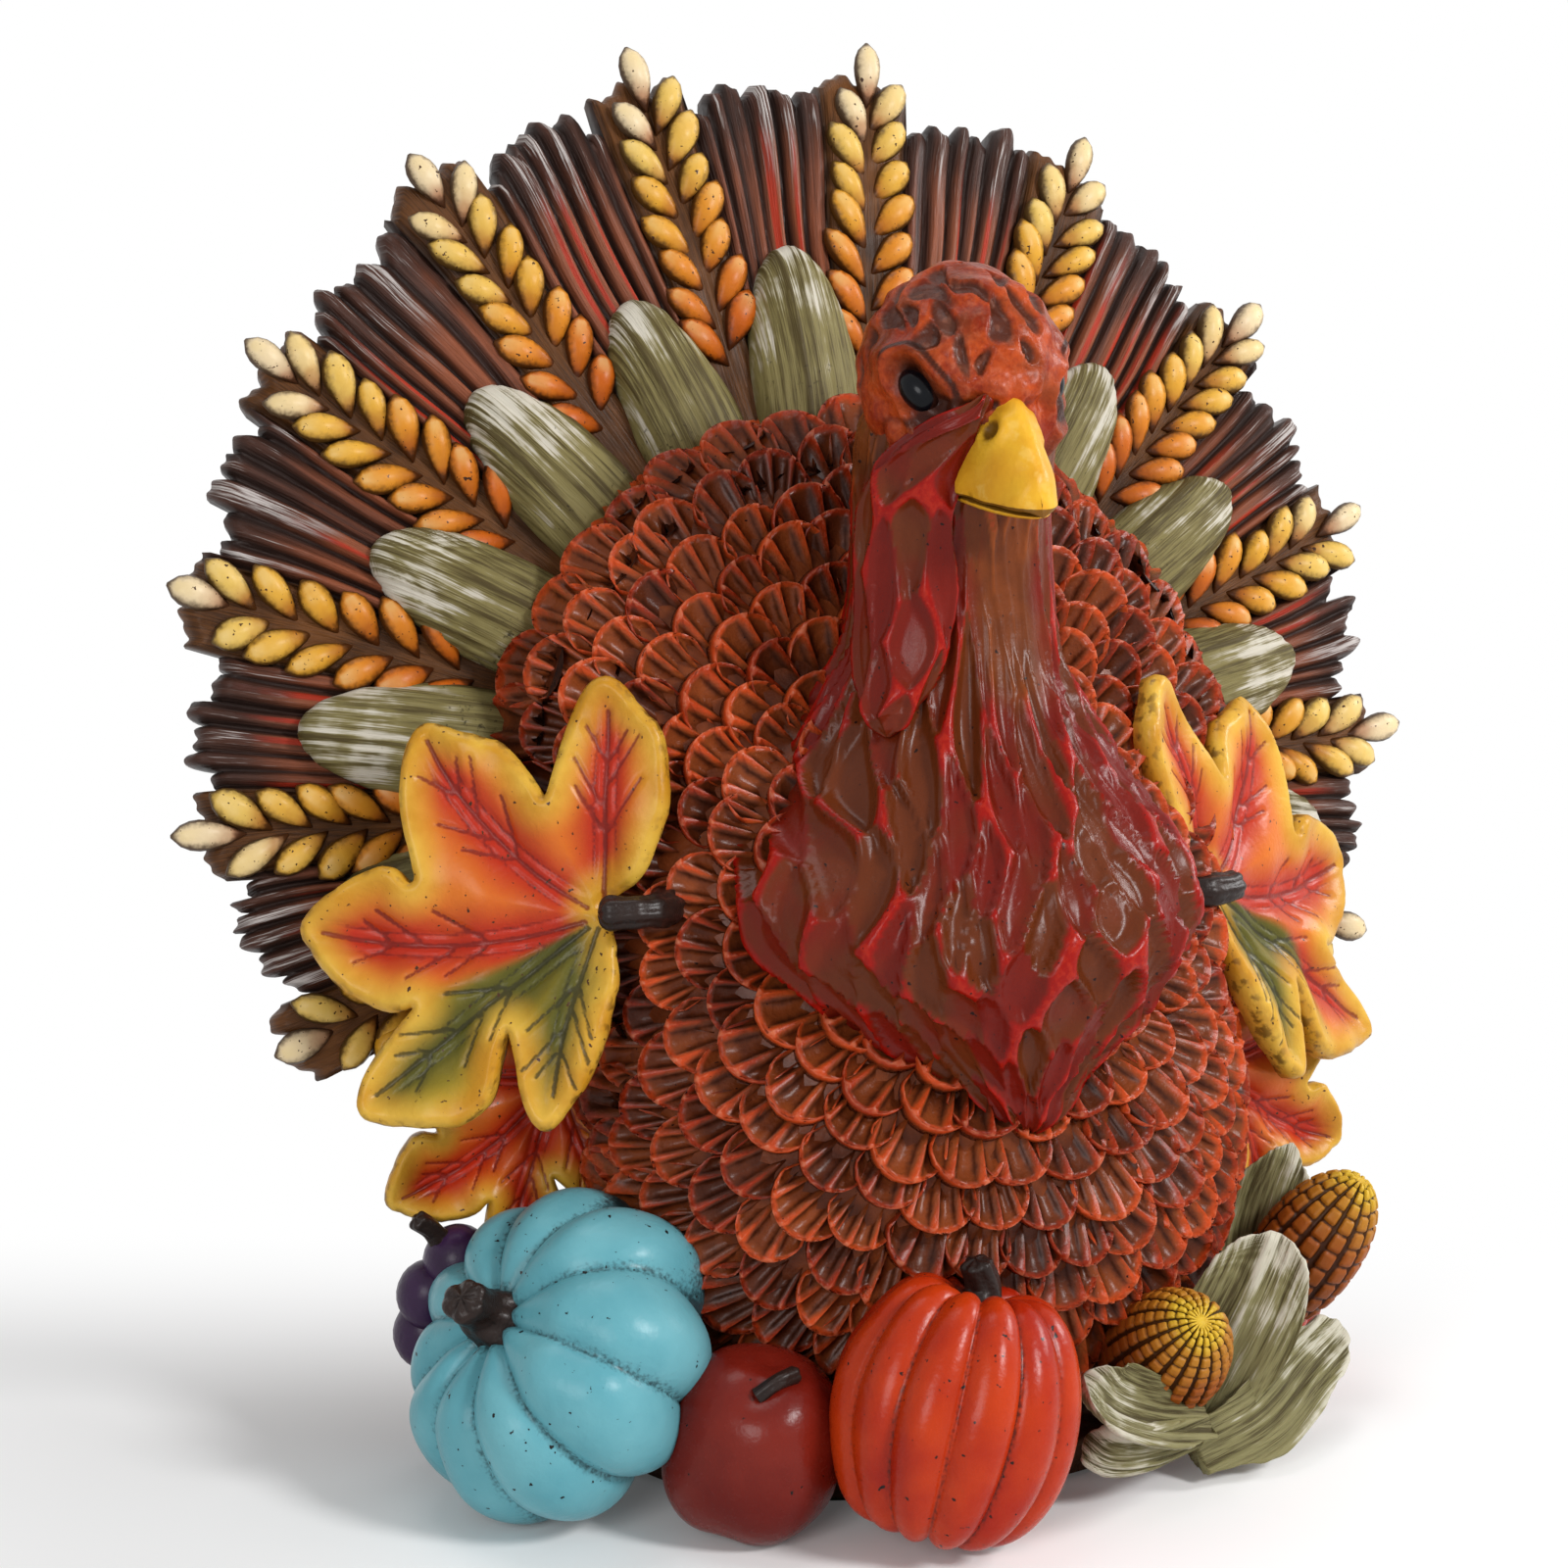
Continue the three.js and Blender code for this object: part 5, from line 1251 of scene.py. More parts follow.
def make_snood():
    rows, columns = 150, 80
    order = SNOOD[::-1]
    places = np.linspace(0, 1, rows)
    keys = np.linspace(0, 1, len(order))
    drop, aside, ahead, width = through(keys, order, places).T
    middles = HEAD_MIDDLE + np.stack([aside, -ahead, -drop], -1)
    outwards = unit(np.stack([aside, HEAD_MIDDLE[1] / 2 - ahead, np.zeros(rows)], -1))
    right = unit(np.cross(outwards, Z_AXIS))
    width = np.maximum(width, THINNEST)
    depth = SNOOD_DEPTH * np.minimum(1, width / 5)
    points = rings(middles, -right, -outwards, width, depth, ring_angles(columns))
    across = np.broadcast_to(np.arange(columns) * SNOOD_CELLS / columns, (rows, columns))
    along = np.broadcast_to(places[:, None] * SNOOD_ROWS, (rows, columns)) + 0.2 * wobble(points, 30, 3)
    across = (across + 0.3 * wobble(points, 22, 4)) % SNOOD_CELLS
    depth_in, tone = gouges(across, along + 1, SNOOD_CELLS, 9)
    height = (0.7 - smooth(-0.15, 0.6, depth_in) * (1.2 + 0.8 * tone)) * np.minimum(1, width / 4)[:, None]
    values = {"relief": 1 - smooth(0.0, 0.28, depth_in), "tone": tone * 0.9}
    return closed_grid("snood", raised(points, height), values)


def crown_dents(bearing, rise):
    """1 in the middle of each dent of the crown, 0 between them."""
    deepest = np.zeros(bearing.shape)
    for turn, up, length, width, slant in CROWN_DENTS:
        beside = wrapped(bearing - turn) * math.cos(math.radians(up))
        above = rise - up
        lean = math.radians(slant)
        along = above * math.cos(lean) + beside * math.sin(lean)
        across = beside * math.cos(lean) - above * math.sin(lean)
        deepest = np.maximum(deepest, smooth(1.3, 0.6, np.hypot(along / length, across / width)))
    return deepest


def make_head():
    rows, columns = 150, 200
    elevation = pole_angles(rows)[:, None] * np.ones((1, columns))
    angle = np.ones((rows, 1)) * (ring_angles(columns) + math.pi / 2)[None, :]
    level = np.cos(elevation)
    depth = np.where(np.sin(angle) < 0, HEAD_FRONT, HEAD_BACK)
    height = np.where(elevation > 0, HEAD_UP, HEAD_DOWN)
    shape = np.stack([
        level * np.cos(angle) * HEAD_WIDTH, level * np.sin(angle) * depth, np.sin(elevation) * height,
    ], -1)
    points = HEAD_MIDDLE + shape
    to_left = -wrapped(np.degrees(angle) + 90)
    bearing = np.abs(to_left)
    rise = np.degrees(elevation)
    places = np.stack([bearing, rise], -1)
    eye, brow, frown, cheek, pouch = (
        lines_distance(places, zip(corners[:-1], corners[1:]))
        for corners in (EYE_LINE, BROW, FROWN, CHEEK, POUCH)
    )
    # Heights in millimetres over distances in degrees
    form = 1.5 * bell(brow, 7) - 1.4 * bell(eye, 9) + 1.1 * bell(eye - 13, 2.6) - 1.0 * bell(frown, 3.4)
    form = form + 1.4 * bell(cheek, 9) + 0.9 * bell(pouch, 8) - 0.7 * bell(pouch - 11, 3)
    form = form * (FAR_SIDE + (1 - FAR_SIDE) * smooth(*FORM_FADE, to_left))
    ragged = (4 * wobble(points, 9, 51), 4 * wobble(points, 9, 52))
    spot = crown_dents(to_left + ragged[0], rise + ragged[1]) * smooth(11, 18, eye)
    folds = 0.5 * wobble(points, 4.0, 41) * smooth(38, 22, eye) * smooth(9, 13, eye)
    rims = 0.35 * bell(spot - 0.2, 0.2)
    points = raised(points, form - 1.0 * spot + rims + folds + 0.45 * wobble(points, 6, 42))
    # Crease: dark lines in the face's folds, round the eye and along its lid, as painted shade
    lid = 0.9 * bell(eye - 16, 1.7) * smooth(-12, 6, rise - 0.9 * (bearing - 60))
    crease = np.clip(bell(frown, 2.8) + lid + bell(eye, 10.5) + 0.5 * bell(pouch - 11, 2.5), 0, 1)
    crease = crease * np.maximum(smooth(*CREASE_FADE, to_left), smooth(*FAR_CREASE_START, to_left))
    return closed_grid("head", points, {"spot": spot, "crease": crease})


def make_eye(side, node):
    """An almond eye, its front corner lower than its back one."""
    rows, columns = 28, 36
    turn = math.radians(EYE_BEARING)
    slant = math.radians(EYE_SLANT)
    low, high = span(node)
    look = unit(np.array([side * math.sin(turn), -math.cos(turn), 0.05]))
    forward = np.array([-side * math.cos(turn), -math.sin(turn), 0])
    long = unit(forward * math.cos(slant) - np.array([0, 0, math.sin(slant)]))
    short = np.cross(look, long)
    half_long, half_short, depth = EYE_SIZES
    middle = (low + high) / 2 - look * EYE_SINK[side]
    shares = pole_angles(rows)
    middles = middle + np.sin(shares)[:, None] * look * depth
    ring = np.maximum(np.cos(shares), 0.001)
    points = rings(middles, long, short, ring * half_long, ring * half_short, ring_angles(columns))
    return closed_grid(node, points, {"crease": smooth(0.6, 0.2, np.sin(shares))[:, None]})


def make_upper_beak():
    """A short steep wedge: narrow on its ridge, wide at the edge of the mouth."""
    rows, columns = 70, 80
    shares = 1 - np.linspace(1, 0, rows) ** 1.7
    root, tip = BEAK_ROOT, BEAK_TIP
    depth = root[0] + (tip[0] - root[0]) * shares
    ridge = root[1] + (tip[1] - root[1]) * shares ** 3
    edge = root[2] + (tip[2] - root[2]) * shares
    width = np.maximum(root[3] * np.sqrt(np.maximum(1 - shares ** 2.6, 0)), THINNEST)
    angles = ring_angles(columns)
    lift = np.sin(angles)[None, :]
    side = np.cos(angles)[None, :]
    over = np.maximum(lift, 0)
    beside = np.sign(side) * np.abs(side) ** 0.9 * (1 - 0.3 * over) * width[:, None]
    above = over ** 0.95 * (ridge - edge)[:, None] + np.minimum(lift, 0) * BEAK_UNDERSIDE
    depths = np.broadcast_to(depth[:, None], beside.shape)
    points = np.stack([BEAK_ASIDE + beside, depths, edge[:, None] + above], -1)
    nostril = np.hypot((depth[:, None] - NOSTRIL[0]) * 0.9, points[..., 2] - NOSTRIL[1])
    height = -1.1 * bell(nostril, 1.2) + 0.6 * bell(nostril - 2.2, 0.7) + 0.25 * wobble(points, 6, 88)
    # Crease: painted shade in the nostril and on the beak's underside
    lip = smooth(0.2, -0.25, lift) * np.ones((rows, 1))
    crease = np.clip(1.3 * bell(nostril, 1.7) + lip, 0, 1)
    return closed_grid("beak_upper", raised(points, height), {"crease": crease})


def make_lower_beak():
    rows, columns = 44, 56
    shares = 1 - np.linspace(1, 0, rows) ** 1.6
    close = np.sqrt(np.maximum(1 - shares ** 2.4, 0.0004))
    root, tip = BEAK_ROOT, BEAK_TIP
    depth = root[0] + (tip[0] + LOWER_BEAK_SHORT - root[0]) * shares
    half_width, half_height = LOWER_BEAK
    levels = root[2] - half_height + (tip[2] - root[2]) * shares
    middles = np.stack([np.full(rows, BEAK_ASIDE), depth, levels], -1)
    angles = ring_angles(columns)
    points = rings(middles, X_AXIS, Z_AXIS, half_width * close, half_height * close, angles)
    # Crease: painted shade on the top of the lower beak, under the upper one
    crease = smooth(-0.2, 0.35, np.sin(angles))[None, :] * 0.95
    return closed_grid("beak_lower", points, {"crease": crease})


# Tail
# Values of a rib: first and last angle, height, end, strength of its red line, whether it is a strip under
# an ear, and place of the line across it
RIB_FIRST, RIB_LAST, RIB_HEIGHT, RIB_END, RIB_LINE, RIB_STRIP, RIB_LINE_PLACE = range(7)


def sector_angle(index, count):
    """Angle from the top, in degrees, of one of several pieces that stand side by side round the tail."""
    return (index - (count - 1) / 2) * EAR_STEP


def fan_ribs(draw):
    """A row for each rib of the tail, with its values in the order of the names above."""
    found = []
    for ear in range(EAR_COUNT):
        middle = sector_angle(ear, EAR_COUNT)
        found.append((middle - STRIP_HALF, middle + STRIP_HALF, STRIP_HEIGHT, STRIP_END, 0, 1, 0))
        if ear == EAR_COUNT - 1:
            break
        room = EAR_STEP - 2 * STRIP_HALF
        cuts = np.cumsum(draw.uniform(*RIB_WIDTH_SPREAD, BARK_RIBS))
        cuts = np.concatenate([[0], cuts / cuts[-1]]) * room + middle + STRIP_HALF
        slant = draw.uniform(-BARK_SLANT, BARK_SLANT)
        for k in range(BARK_RIBS):
            place = 2 * k / (BARK_RIBS - 1) - 1
            spread = draw.uniform(-BARK_END_SPREAD, BARK_END_SPREAD)
            end = BARK_END + BARK_ARCH * (1 - place ** 2) + slant * place + spread
            line = (draw.random() > 0.5) * draw.uniform(*RED_LINES)
            height = draw.uniform(*RIB_HEIGHT_SPREAD)
            found.append((cuts[k], cuts[k + 1], height, end, line, 0, draw.uniform(-0.5, 0.5)))
    return np.array(found)


def make_tail():
    ribs = fan_ribs(np.random.default_rng(FAN_SEED))
    column_count, back_rows, front_rows = 1300, 22, 44
    starts, ends = ribs[:, RIB_FIRST], ribs[:, RIB_LAST]
    columns = np.linspace(starts[0], ends[-1], column_count)

    def rib_of(angles):
        pick = np.clip(np.searchsorted(starts, angles, side="right") - 1, 0, len(ribs) - 1)
        place = (angles - starts[pick]) / (ends[pick] - starts[pick]) * 2 - 1
        return pick, np.clip(place, -1, 1)

    pick, place = rib_of(columns)
    corner = np.where(ribs[pick, RIB_STRIP] > 0, 0.008, 0.016)
    ragged = 0.008 * wobble(np.stack([columns, columns * 0], -1), 1.3, 47)
    end = ribs[pick, RIB_END] - corner * np.abs(place) ** 4 + ragged
    turn = np.radians(columns)
    outer = tip_radius(turn) * end

    def sheet(shares, amount, seed):
        radius = FAN_INNER + (outer[:, None] - FAN_INNER) * shares[None, :]
        angle = np.broadcast_to(columns[:, None], radius.shape)
        flat = np.stack([radius, angle * 1.6], -1)
        bent = angle + 0.28 * wobble(flat, 34, seed) * smooth(60, 75, radius)
        rib, across = rib_of(bent)
        is_strip = ribs[rib, RIB_STRIP]
        round_top = 1 - np.abs(across) ** 2.2
        grain = wobble(np.stack([radius / 20, bent * 2.4], -1), 2.1, seed + 1)
        strip = 0.6 * smooth(1.0, 0.8, np.abs(across)) + 0.05 * grain
        relief = np.where(is_strip > 0, strip, round_top * ribs[rib, RIB_HEIGHT] + 0.16 * grain)
        lift = amount * relief * smooth(0, 0.05, 1.02 - shares)[None, :] ** 0.5
        lift = lift + 0.5 * wobble(flat, 26, seed + 2)
        streak = ribs[rib, RIB_LINE] * bell(across - ribs[rib, RIB_LINE_PLACE], 0.3)
        return radius, lift, np.clip(relief, 0, 1.1), bent, streak, is_strip

    back_shares = np.linspace(0, 1, back_rows)
    front_shares = np.linspace(1, 0, front_rows)
    back_radius, back_lift, *back_paint = sheet(back_shares, -1.0, 61)
    radius, lift, *front_paint = sheet(front_shares, BARK_RELIEF, 51)
    thick = FAN_THICKNESS + (FAN_EDGE - FAN_THICKNESS) * back_shares[None, :]
    behind = fan_point(turn[:, None], back_radius, back_lift - thick)
    ahead = fan_point(turn[:, None], radius, lift)
    rim = (behind[:, -1:] + ahead[:, :1]) / 2
    rim = rim + unit(rim - FAN_CENTRE) * RIM_ROUNDING
    points = np.concatenate([behind, rim, ahead], 1)

    def joined(back, front):
        return np.concatenate([back, (back[:, -1:] + front[:, :1]) / 2, front], 1)

    names = ("relief", "around", "streak", "strip")
    values = {name: joined(back, front) for name, back, front in zip(names, back_paint, front_paint)}
    values["reach"] = joined(back_radius, radius) / tip_radius(turn)[:, None]
    return closed_grid("tail_fan", points, values)


def fan_axes(angle, radius):
    along = unit(fan_point(angle, radius + 1, 0) - fan_point(angle, radius, 0))
    beside = fan_point(angle + 1 / radius, radius, 0) - fan_point(angle, radius, 0)
    front = unit(np.cross(unit(beside), along))
    return np.cross(along, front), along, front


def grain_unit():
    """A wheat grain of unit length from its foot, with a seam down its middle."""
    rows, columns = 9, 10
    shares = np.linspace(0.02, 0.99, rows)
    half = shares ** 0.95 * (1 - shares ** 2.2) ** 0.8
    half = half / half.max() / 2
    angles = ring_angles(columns)
    seam = bell(np.sin(angles) - 1, 0.35)[None, :] * 0.1
    middles = np.stack([np.zeros(rows), shares, 0.1 * np.sin(shares * math.pi)], -1)
    points = rings(middles, X_AXIS, Z_AXIS, half, half, angles)
    points[..., 2] -= seam * half[:, None]
    # Relief: 1 on the grain's front, falling to 0 at its sides, back, ends and seam, for painted highlight
    # and shade
    bare = (1 - np.abs(np.cos(angles)) ** 3) * (np.sin(angles) > 0)
    ends = smooth(0.0, 0.3, shares) * (1 - 0.7 * smooth(0.9, 1, shares))
    relief = bare[None, :] * ends[:, None] - 1.2 * seam
    reach = np.broadcast_to(shares[:, None], relief.shape)
    return closed_grid("wheat_grain", points[::-1] / MM, {"relief": relief[::-1], "reach": reach[::-1]})


def make_ear(index):
    draw = np.random.default_rng(EAR_SEED + index)
    turn = math.radians(sector_angle(index, EAR_COUNT))
    tip = tip_radius(turn)
    root = tip * EAR_ROOT
    pairs = round((tip - root - GRAIN_LENGTH) / GRAIN_PITCH)
    pitch = (tip - root - GRAIN_LENGTH) / pairs
    points = []

    def grain(radius, aside, splay, share, lift):
        across, along, front = fan_axes(turn, radius)
        lean = math.radians(splay + draw.normal(0, 3))
        pointing = along * math.cos(lean) + across * math.sin(lean)
        sizes = np.array([GRAIN_WIDTH, GRAIN_LENGTH, GRAIN_THICKNESS]) * draw.uniform(*GRAIN_SIZES, 3) * MM
        points.append({
            "place": fan_point(turn, radius, lift) + across * aside, "out": unit(front - pointing * 0.1),
            "along": unit(pointing + front * 0.1), "size": sizes, "variant": 0,
            "tone": float(np.clip(share + draw.normal(0, 0.05), 0, 1)),
        })

    for k in range(pairs):
        for side in (-1, 1):
            share = k / pairs
            late = 0.4 * pitch * (side > 0)
            fade = 1 - 0.25 * share ** 2
            grain(root + k * pitch + late, side * GRAIN_ASIDE, side * GRAIN_SPLAY * fade, share, EAR_LIFT)
    grain(tip - GRAIN_LENGTH * 0.97, 0.0, 0.0, 1.0, EAR_LIFT)
    name = f"wheat_ear_{index + 1:02d}"
    return planted(name, points, [grain_unit()], WHEAT)


def husk_fibres(streaks, size, seed):
    """Coarse and fine ribs along a husk, each about 0 to 1."""
    ribbed = 0.5 + 0.5 * wobble(streaks, size, seed)
    fine = 0.5 + 0.5 * wobble(streaks * [2.6, 1], 2.0, seed + 20)
    return ribbed, fine


def make_husk(index):
    rows, columns = 60, 120
    turn = math.radians(sector_angle(index, HUSK_COUNT))
    draw = np.random.default_rng(HUSK_SEED + index)
    tip = HUSK_TIP + draw.uniform(*HUSK_LENGTHS)
    across, _, front = fan_axes(turn, HUSK_TIP)
    shares = 1 - np.linspace(1, 0.004, rows) ** 1.4
    taper = np.where(shares < 0.45, 0.86 + 0.14 * smooth(0, 0.45, shares), 1.0)
    close = taper * np.sqrt(np.maximum(1 - (np.maximum(shares - 0.3, 0) / 0.7) ** 2.4, 0.0004))
    width = HUSK_WIDTH * draw.uniform(*HUSK_WIDTHS) * close
    rise = HUSK_RISE * close ** 0.8 * (0.75 + 0.25 * smooth(0, 0.4, shares))
    radius = HUSK_ROOT + (tip - HUSK_ROOT) * shares
    middles = fan_point(turn, radius, HUSK_LIFT[0] + HUSK_LIFT[1] * shares)
    angles = ring_angles(columns)
    points = rings(middles, across, front, width, rise, angles)[:, ::-1]
    across_share = np.cos(angles)[None, ::-1] * close[:, None]
    streaks = np.stack([across_share * 14, np.broadcast_to(shares[:, None] * 2.2, (rows, columns))], -1)
    ribbed, fine = husk_fibres(streaks, 2.4, HUSK_FIBRE_SEED + index)
    relief = np.clip(0.55 * ribbed + 0.45 * fine, 0, 1)
    height = (0.5 * (ribbed - 0.5) + 0.34 * (fine - 0.5)) * np.sqrt(close)[:, None]
    points = raised(points[::-1], height[::-1])
    values = {
        "relief": relief[::-1], "reach": np.broadcast_to(shares[::-1, None], relief.shape),
        "across": across_share[::-1] + index,
    }
    return closed_grid(f"husk_feather_{index + 1:02d}", points, values)


# Maple leaves
def leaf_outline():
    """The leaf's edge, smooth between its points and with small nicks, anticlockwise."""
    keys = np.arange(-2, len(LEAF_RIM) + 3)
    edge = through(keys, LEAF_RIM[keys % len(LEAF_RIM)], np.arange(0, len(LEAF_RIM), 0.25))
    nicks = 0.16 * wobble(edge, 3.2, 17) + 0.2 * wobble(edge, 9, 18)
    return (edge + unit(edge - edge.mean(0)) * nicks[:, None])[::-1]


def inside_loop(points, loop):
    ahead = np.roll(loop, -1, 0)
    crossings = np.zeros(len(points), int)
    for a, b in zip(loop, ahead):
        spans = (a[1] > points[:, 1]) != (b[1] > points[:, 1])
        rise = b[1] - a[1] if b[1] != a[1] else TINY
        crossings += spans & (points[:, 0] < a[0] + (points[:, 1] - a[1]) / rise * (b[0] - a[0]))
    return crossings % 2 == 1


def vein_lines():
    """Main vein of each lobe as short lines, and the side veins of all lobes."""
    mains = []
    twigs = []
    for tip, bend, reach in zip(LEAF_TIPS, VEIN_BENDS, VEIN_REACH):
        aside = unit(np.array([-tip[1], tip[0]]))
        shares = np.linspace(VEIN_START, reach, VEIN_POINTS)[:, None]
        path = shares * tip + aside * bend * 4 * shares * (1 - shares)
        mains.append(list(zip(path[:-1], path[1:])))
        for place, side, length in SIDE_VEINS:
            ahead = unit(path[place + 1] - path[place])
            across = np.array([-ahead[1], ahead[0]]) * side
            end = path[place] + (ahead * 0.78 + across * 0.55) * length
            twigs.append((path[place] + across * 0.6, end))
    return mains, twigs


LEAF_EDGE = leaf_outline()
LEAF_MAINS, LEAF_TWIGS = vein_lines()


def leaf_sheet():
    """Points of the flat leaf, its faces, and the distances that its form and paint use."""
    low = LEAF_EDGE.min(0)
    high = LEAF_EDGE.max(0)
    across = np.arange(low[0], high[0], LEAF_MESH)
    up = np.arange(low[1], high[1], LEAF_MESH * 0.87)
    grid = np.stack(np.meshgrid(across, up), -1)
    grid[1::2, :, 0] += LEAF_MESH / 2
    grid = grid.reshape(-1, 2)
    rim = list(zip(LEAF_EDGE, np.roll(LEAF_EDGE, -1, 0)))
    keep = inside_loop(grid, LEAF_EDGE) & (lines_distance(grid, rim) > LEAF_MESH * 0.6)
    points = np.vstack([LEAF_EDGE, grid[keep]])
    loop = list(range(len(LEAF_EDGE)))
    cut = delaunay_2d_cdt([Vector(p) for p in points], [], [loop], 1, WELD)
    points = np.array([tuple(p) for p in cut[0]])
    faces = [list(face) for face in cut[2]]
    mains = np.stack([lines_distance(points, lines) for lines in LEAF_MAINS])
    warmth = 1 / (mains + 1.5) ** 2
    values = {
        "edge": lines_distance(points, rim),
        "vein": mains.min(0),
        "twig": lines_distance(points, LEAF_TWIGS),
        "green": (warmth * np.array(LEAF_GREEN)[:, None]).sum(0) / warmth.sum(0),
    }
    return points, faces, values


LEAF_POINTS, LEAF_FACES, LEAF_VALUES = leaf_sheet()


def leaf_shell_faces():
    """Faces of the leaf's front, its back and the wall between them, which has a row of points of its own."""
    count = len(LEAF_POINTS)
    rim_count = len(LEAF_EDGE)
    faces = LEAF_FACES + [[v + count for v in face[::-1]] for face in LEAF_FACES]
    for k in range(rim_count):
        after = (k + 1) % rim_count
        wall = 2 * count + k
        wall_after = 2 * count + after
        faces.append([k, wall, wall_after, after])
        faces.append([wall, k + count, after + count, wall_after])
    return faces


def make_leaf(name, side, origin, turn, lean, roll, scale, green, sway=0.0, drop=1.0, green_end=100.0):
    edge, vein, twig = (LEAF_VALUES[key] for key in ("edge", "vein", "twig"))
    rim_roll = 0.9 * (1 - smooth(0, 10, edge)) - 0.9 * (1 - smooth(0, 1.5, edge)) ** 2
    faded = smooth(1.5, 7, edge)
    scratch = np.maximum(bell(vein, 0.55), 0.7 * bell(vein - 1.9, 0.45) * faded)
    scratch = np.maximum(scratch, 0.9 * bell(twig, 0.45))
    groove = -1.5 * bell(vein, 4.5) - 0.6 * scratch
    spread = np.linalg.norm(LEAF_POINTS, axis=-1)
    height = rim_roll + groove + 1.1 * wobble(LEAF_POINTS, 15, 23) - 1.2 * bell(spread, 10)
    deep = -LEAF_THICKNESS + 1.2 * (1 - smooth(0, 3.0, edge)) + 0.3 * wobble(LEAF_POINTS, 11, 29)
    rim_count = len(LEAF_EDGE)
    outer = LEAF_POINTS[:rim_count]
    outwards = outer - np.roll(outer, 1, 0)
    outwards = unit(np.stack([outwards[:, 1], -outwards[:, 0]], -1))
    wall = outer + outwards * 0.4
    flat = np.vstack([LEAF_POINTS, LEAF_POINTS, wall])
    flat = flat * np.where(flat[:, 1:] < 0, [[1, drop]], 1)
    flat[:, 0] -= sway * flat[:, 1]
    wall_height = (height[:rim_count] + deep[:rim_count]) / 2 + 0.6
    rises = np.concatenate([height, deep, wall_height])
    angle = math.radians(roll)
    spin = np.array([[math.cos(angle), math.sin(angle)], [-math.sin(angle), math.cos(angle)]])
    flat = flat * scale @ spin
    turn, lean = math.radians(turn), math.radians(lean)
    out = np.array([math.cos(turn), math.sin(turn), 0])
    level = np.array([math.sin(turn), -math.cos(turn), 0])
    facing = level * math.cos(lean) + np.array([0, 0, math.sin(lean)])
    rise = np.cross(facing, out)
    points = np.array(origin, float) + flat[:, :1] * out + flat[:, 1:] * rise + rises[:, None] * facing
    points[:, 0] *= side
    zeros = np.zeros(rim_count)
    leafy = LEAF_VALUES["green"] * green * smooth(green_end, green_end * 0.5, LEAF_POINTS[:, 0])

    def both(front, behind, rim):
        return np.concatenate([front, behind, rim])

    values = {
        "edge": both(edge, -edge, zeros - 1.0),
        "vein": both(vein, vein, zeros + 20),
        "scratch": both(scratch, scratch * 0, zeros),
        "green": both(leafy, leafy, leafy[:rim_count]),
        "behind": both(edge * 0, smooth(0, 3, edge), zeros),
    }
    return weld(write_mesh(name, points, leaf_shell_faces(), values))


# Stalks
STALK_SIDE = (0.31, 0.87, 0.38)


def make_stalk(name, path, radii, grooves, seed):
    """A woody stalk through points, with grooves along it."""
    rows, columns = 40, 40
    shares = np.linspace(0, 1, rows)
    keys = np.linspace(0, 1, len(path))
    middles = through(keys, path, shares)
    radius = through(keys, radii, shares)[:, 0]
    axis = unit(np.gradient(middles, axis=0))
    right = unit(np.cross(axis, STALK_SIDE))
    ahead = np.cross(axis, right)
    cap = np.minimum(1, np.sqrt(np.maximum(1 - ((shares - 0.9) / 0.1).clip(0, 1) ** 2, 0.02)))
    angles = ring_angles(columns)
    points = rings(middles, right, ahead, radius * cap, radius * cap, angles)
    ridge = np.abs(np.sin(angles[None, :] * grooves / 2 + shares[:, None] * 1.4))
    height = 0.14 * radius[:, None] * (ridge - 0.5) + 0.07 * radius[:, None] * wobble(points, 4, seed)
    return closed_grid(name, raised(points, height))


def stem_path(middle, axis, rise, lean, length):
    """A pumpkin's stem leaves along the pumpkin's axis and then leans over."""
    bow = unit(np.array(axis, float))
    foot = middle + bow * rise
    bent = unit(np.array(lean, float))
    return [foot, foot + bow * length * 0.45, foot + bow * length * 0.55 + bent * length * 0.4]


# Harvest
def globe(middle, axis, radius, half, rows, columns, sunk=0.34):
    """Rows of rings of a rounded fruit, with how far each row is up it and the angle of each column."""
    right, ahead, up = axes_along(axis, -Y_AXIS)
    elevation = pole_angles(rows)
    angles = ring_angles(columns)
    level = np.cos(elevation) ** 0.86
    rise = np.sin(elevation)
    sink = 1 - sunk * (1 - level) ** 2
    middles = middle + up * (rise * half * sink)[:, None]
    ring = np.maximum(level * radius, 0.02)
    points = rings(middles, right, ahead, ring, ring, angles)
    return points, rise, angles, level


def contact_shade_on(points):
    """Where painted shade falls on a fruit: near the body and near the floor."""
    return np.maximum(smooth(-11, -2, body_depth(points)), 0.8 * smooth(7, 1, points[..., 2]))


def stand(points):
    """Flattens what would go below the felt's top."""
    points[..., 2] = np.maximum(points[..., 2], FELT_TOP)
    return points


def make_pumpkin(name, middle, axis, radius, half, ribs, groove, seed):
    rows, columns_per_rib = 90, 20
    points, rise, angles, level = globe(middle, axis, radius, half, rows, ribs * columns_per_rib)
    draw = np.random.default_rng(seed)
    wave = angles * ribs / 2 + 0.12 * np.sin(angles + draw.uniform(0, TURN)) * ribs / 2
    crest = np.abs(np.sin(wave))[None, :] ** 0.62
    crest = np.broadcast_to(crest, points.shape[:2])
    height = -groove * (1 - crest) * (0.35 + 0.65 * level[:, None]) + 0.35 * wobble(points, 18, seed)
    height = height * smooth(0, 0.2, level)[:, None]
    # Crease: painted shade in the grooves and round the pole at the top
    crease = np.clip(1 - crest * 1.05, 0, 1) * smooth(0.1, 0.4, level)[:, None]
    pole = 1 - smooth(0.12, 0.4, level)[:, None]
    points = stand(raised(points, height))
    values = {"crease": np.maximum(crease, pole * 0.9 * (rise[:, None] > 0)), "grime": contact_shade_on(points)}
    return closed_grid(name, points, values)


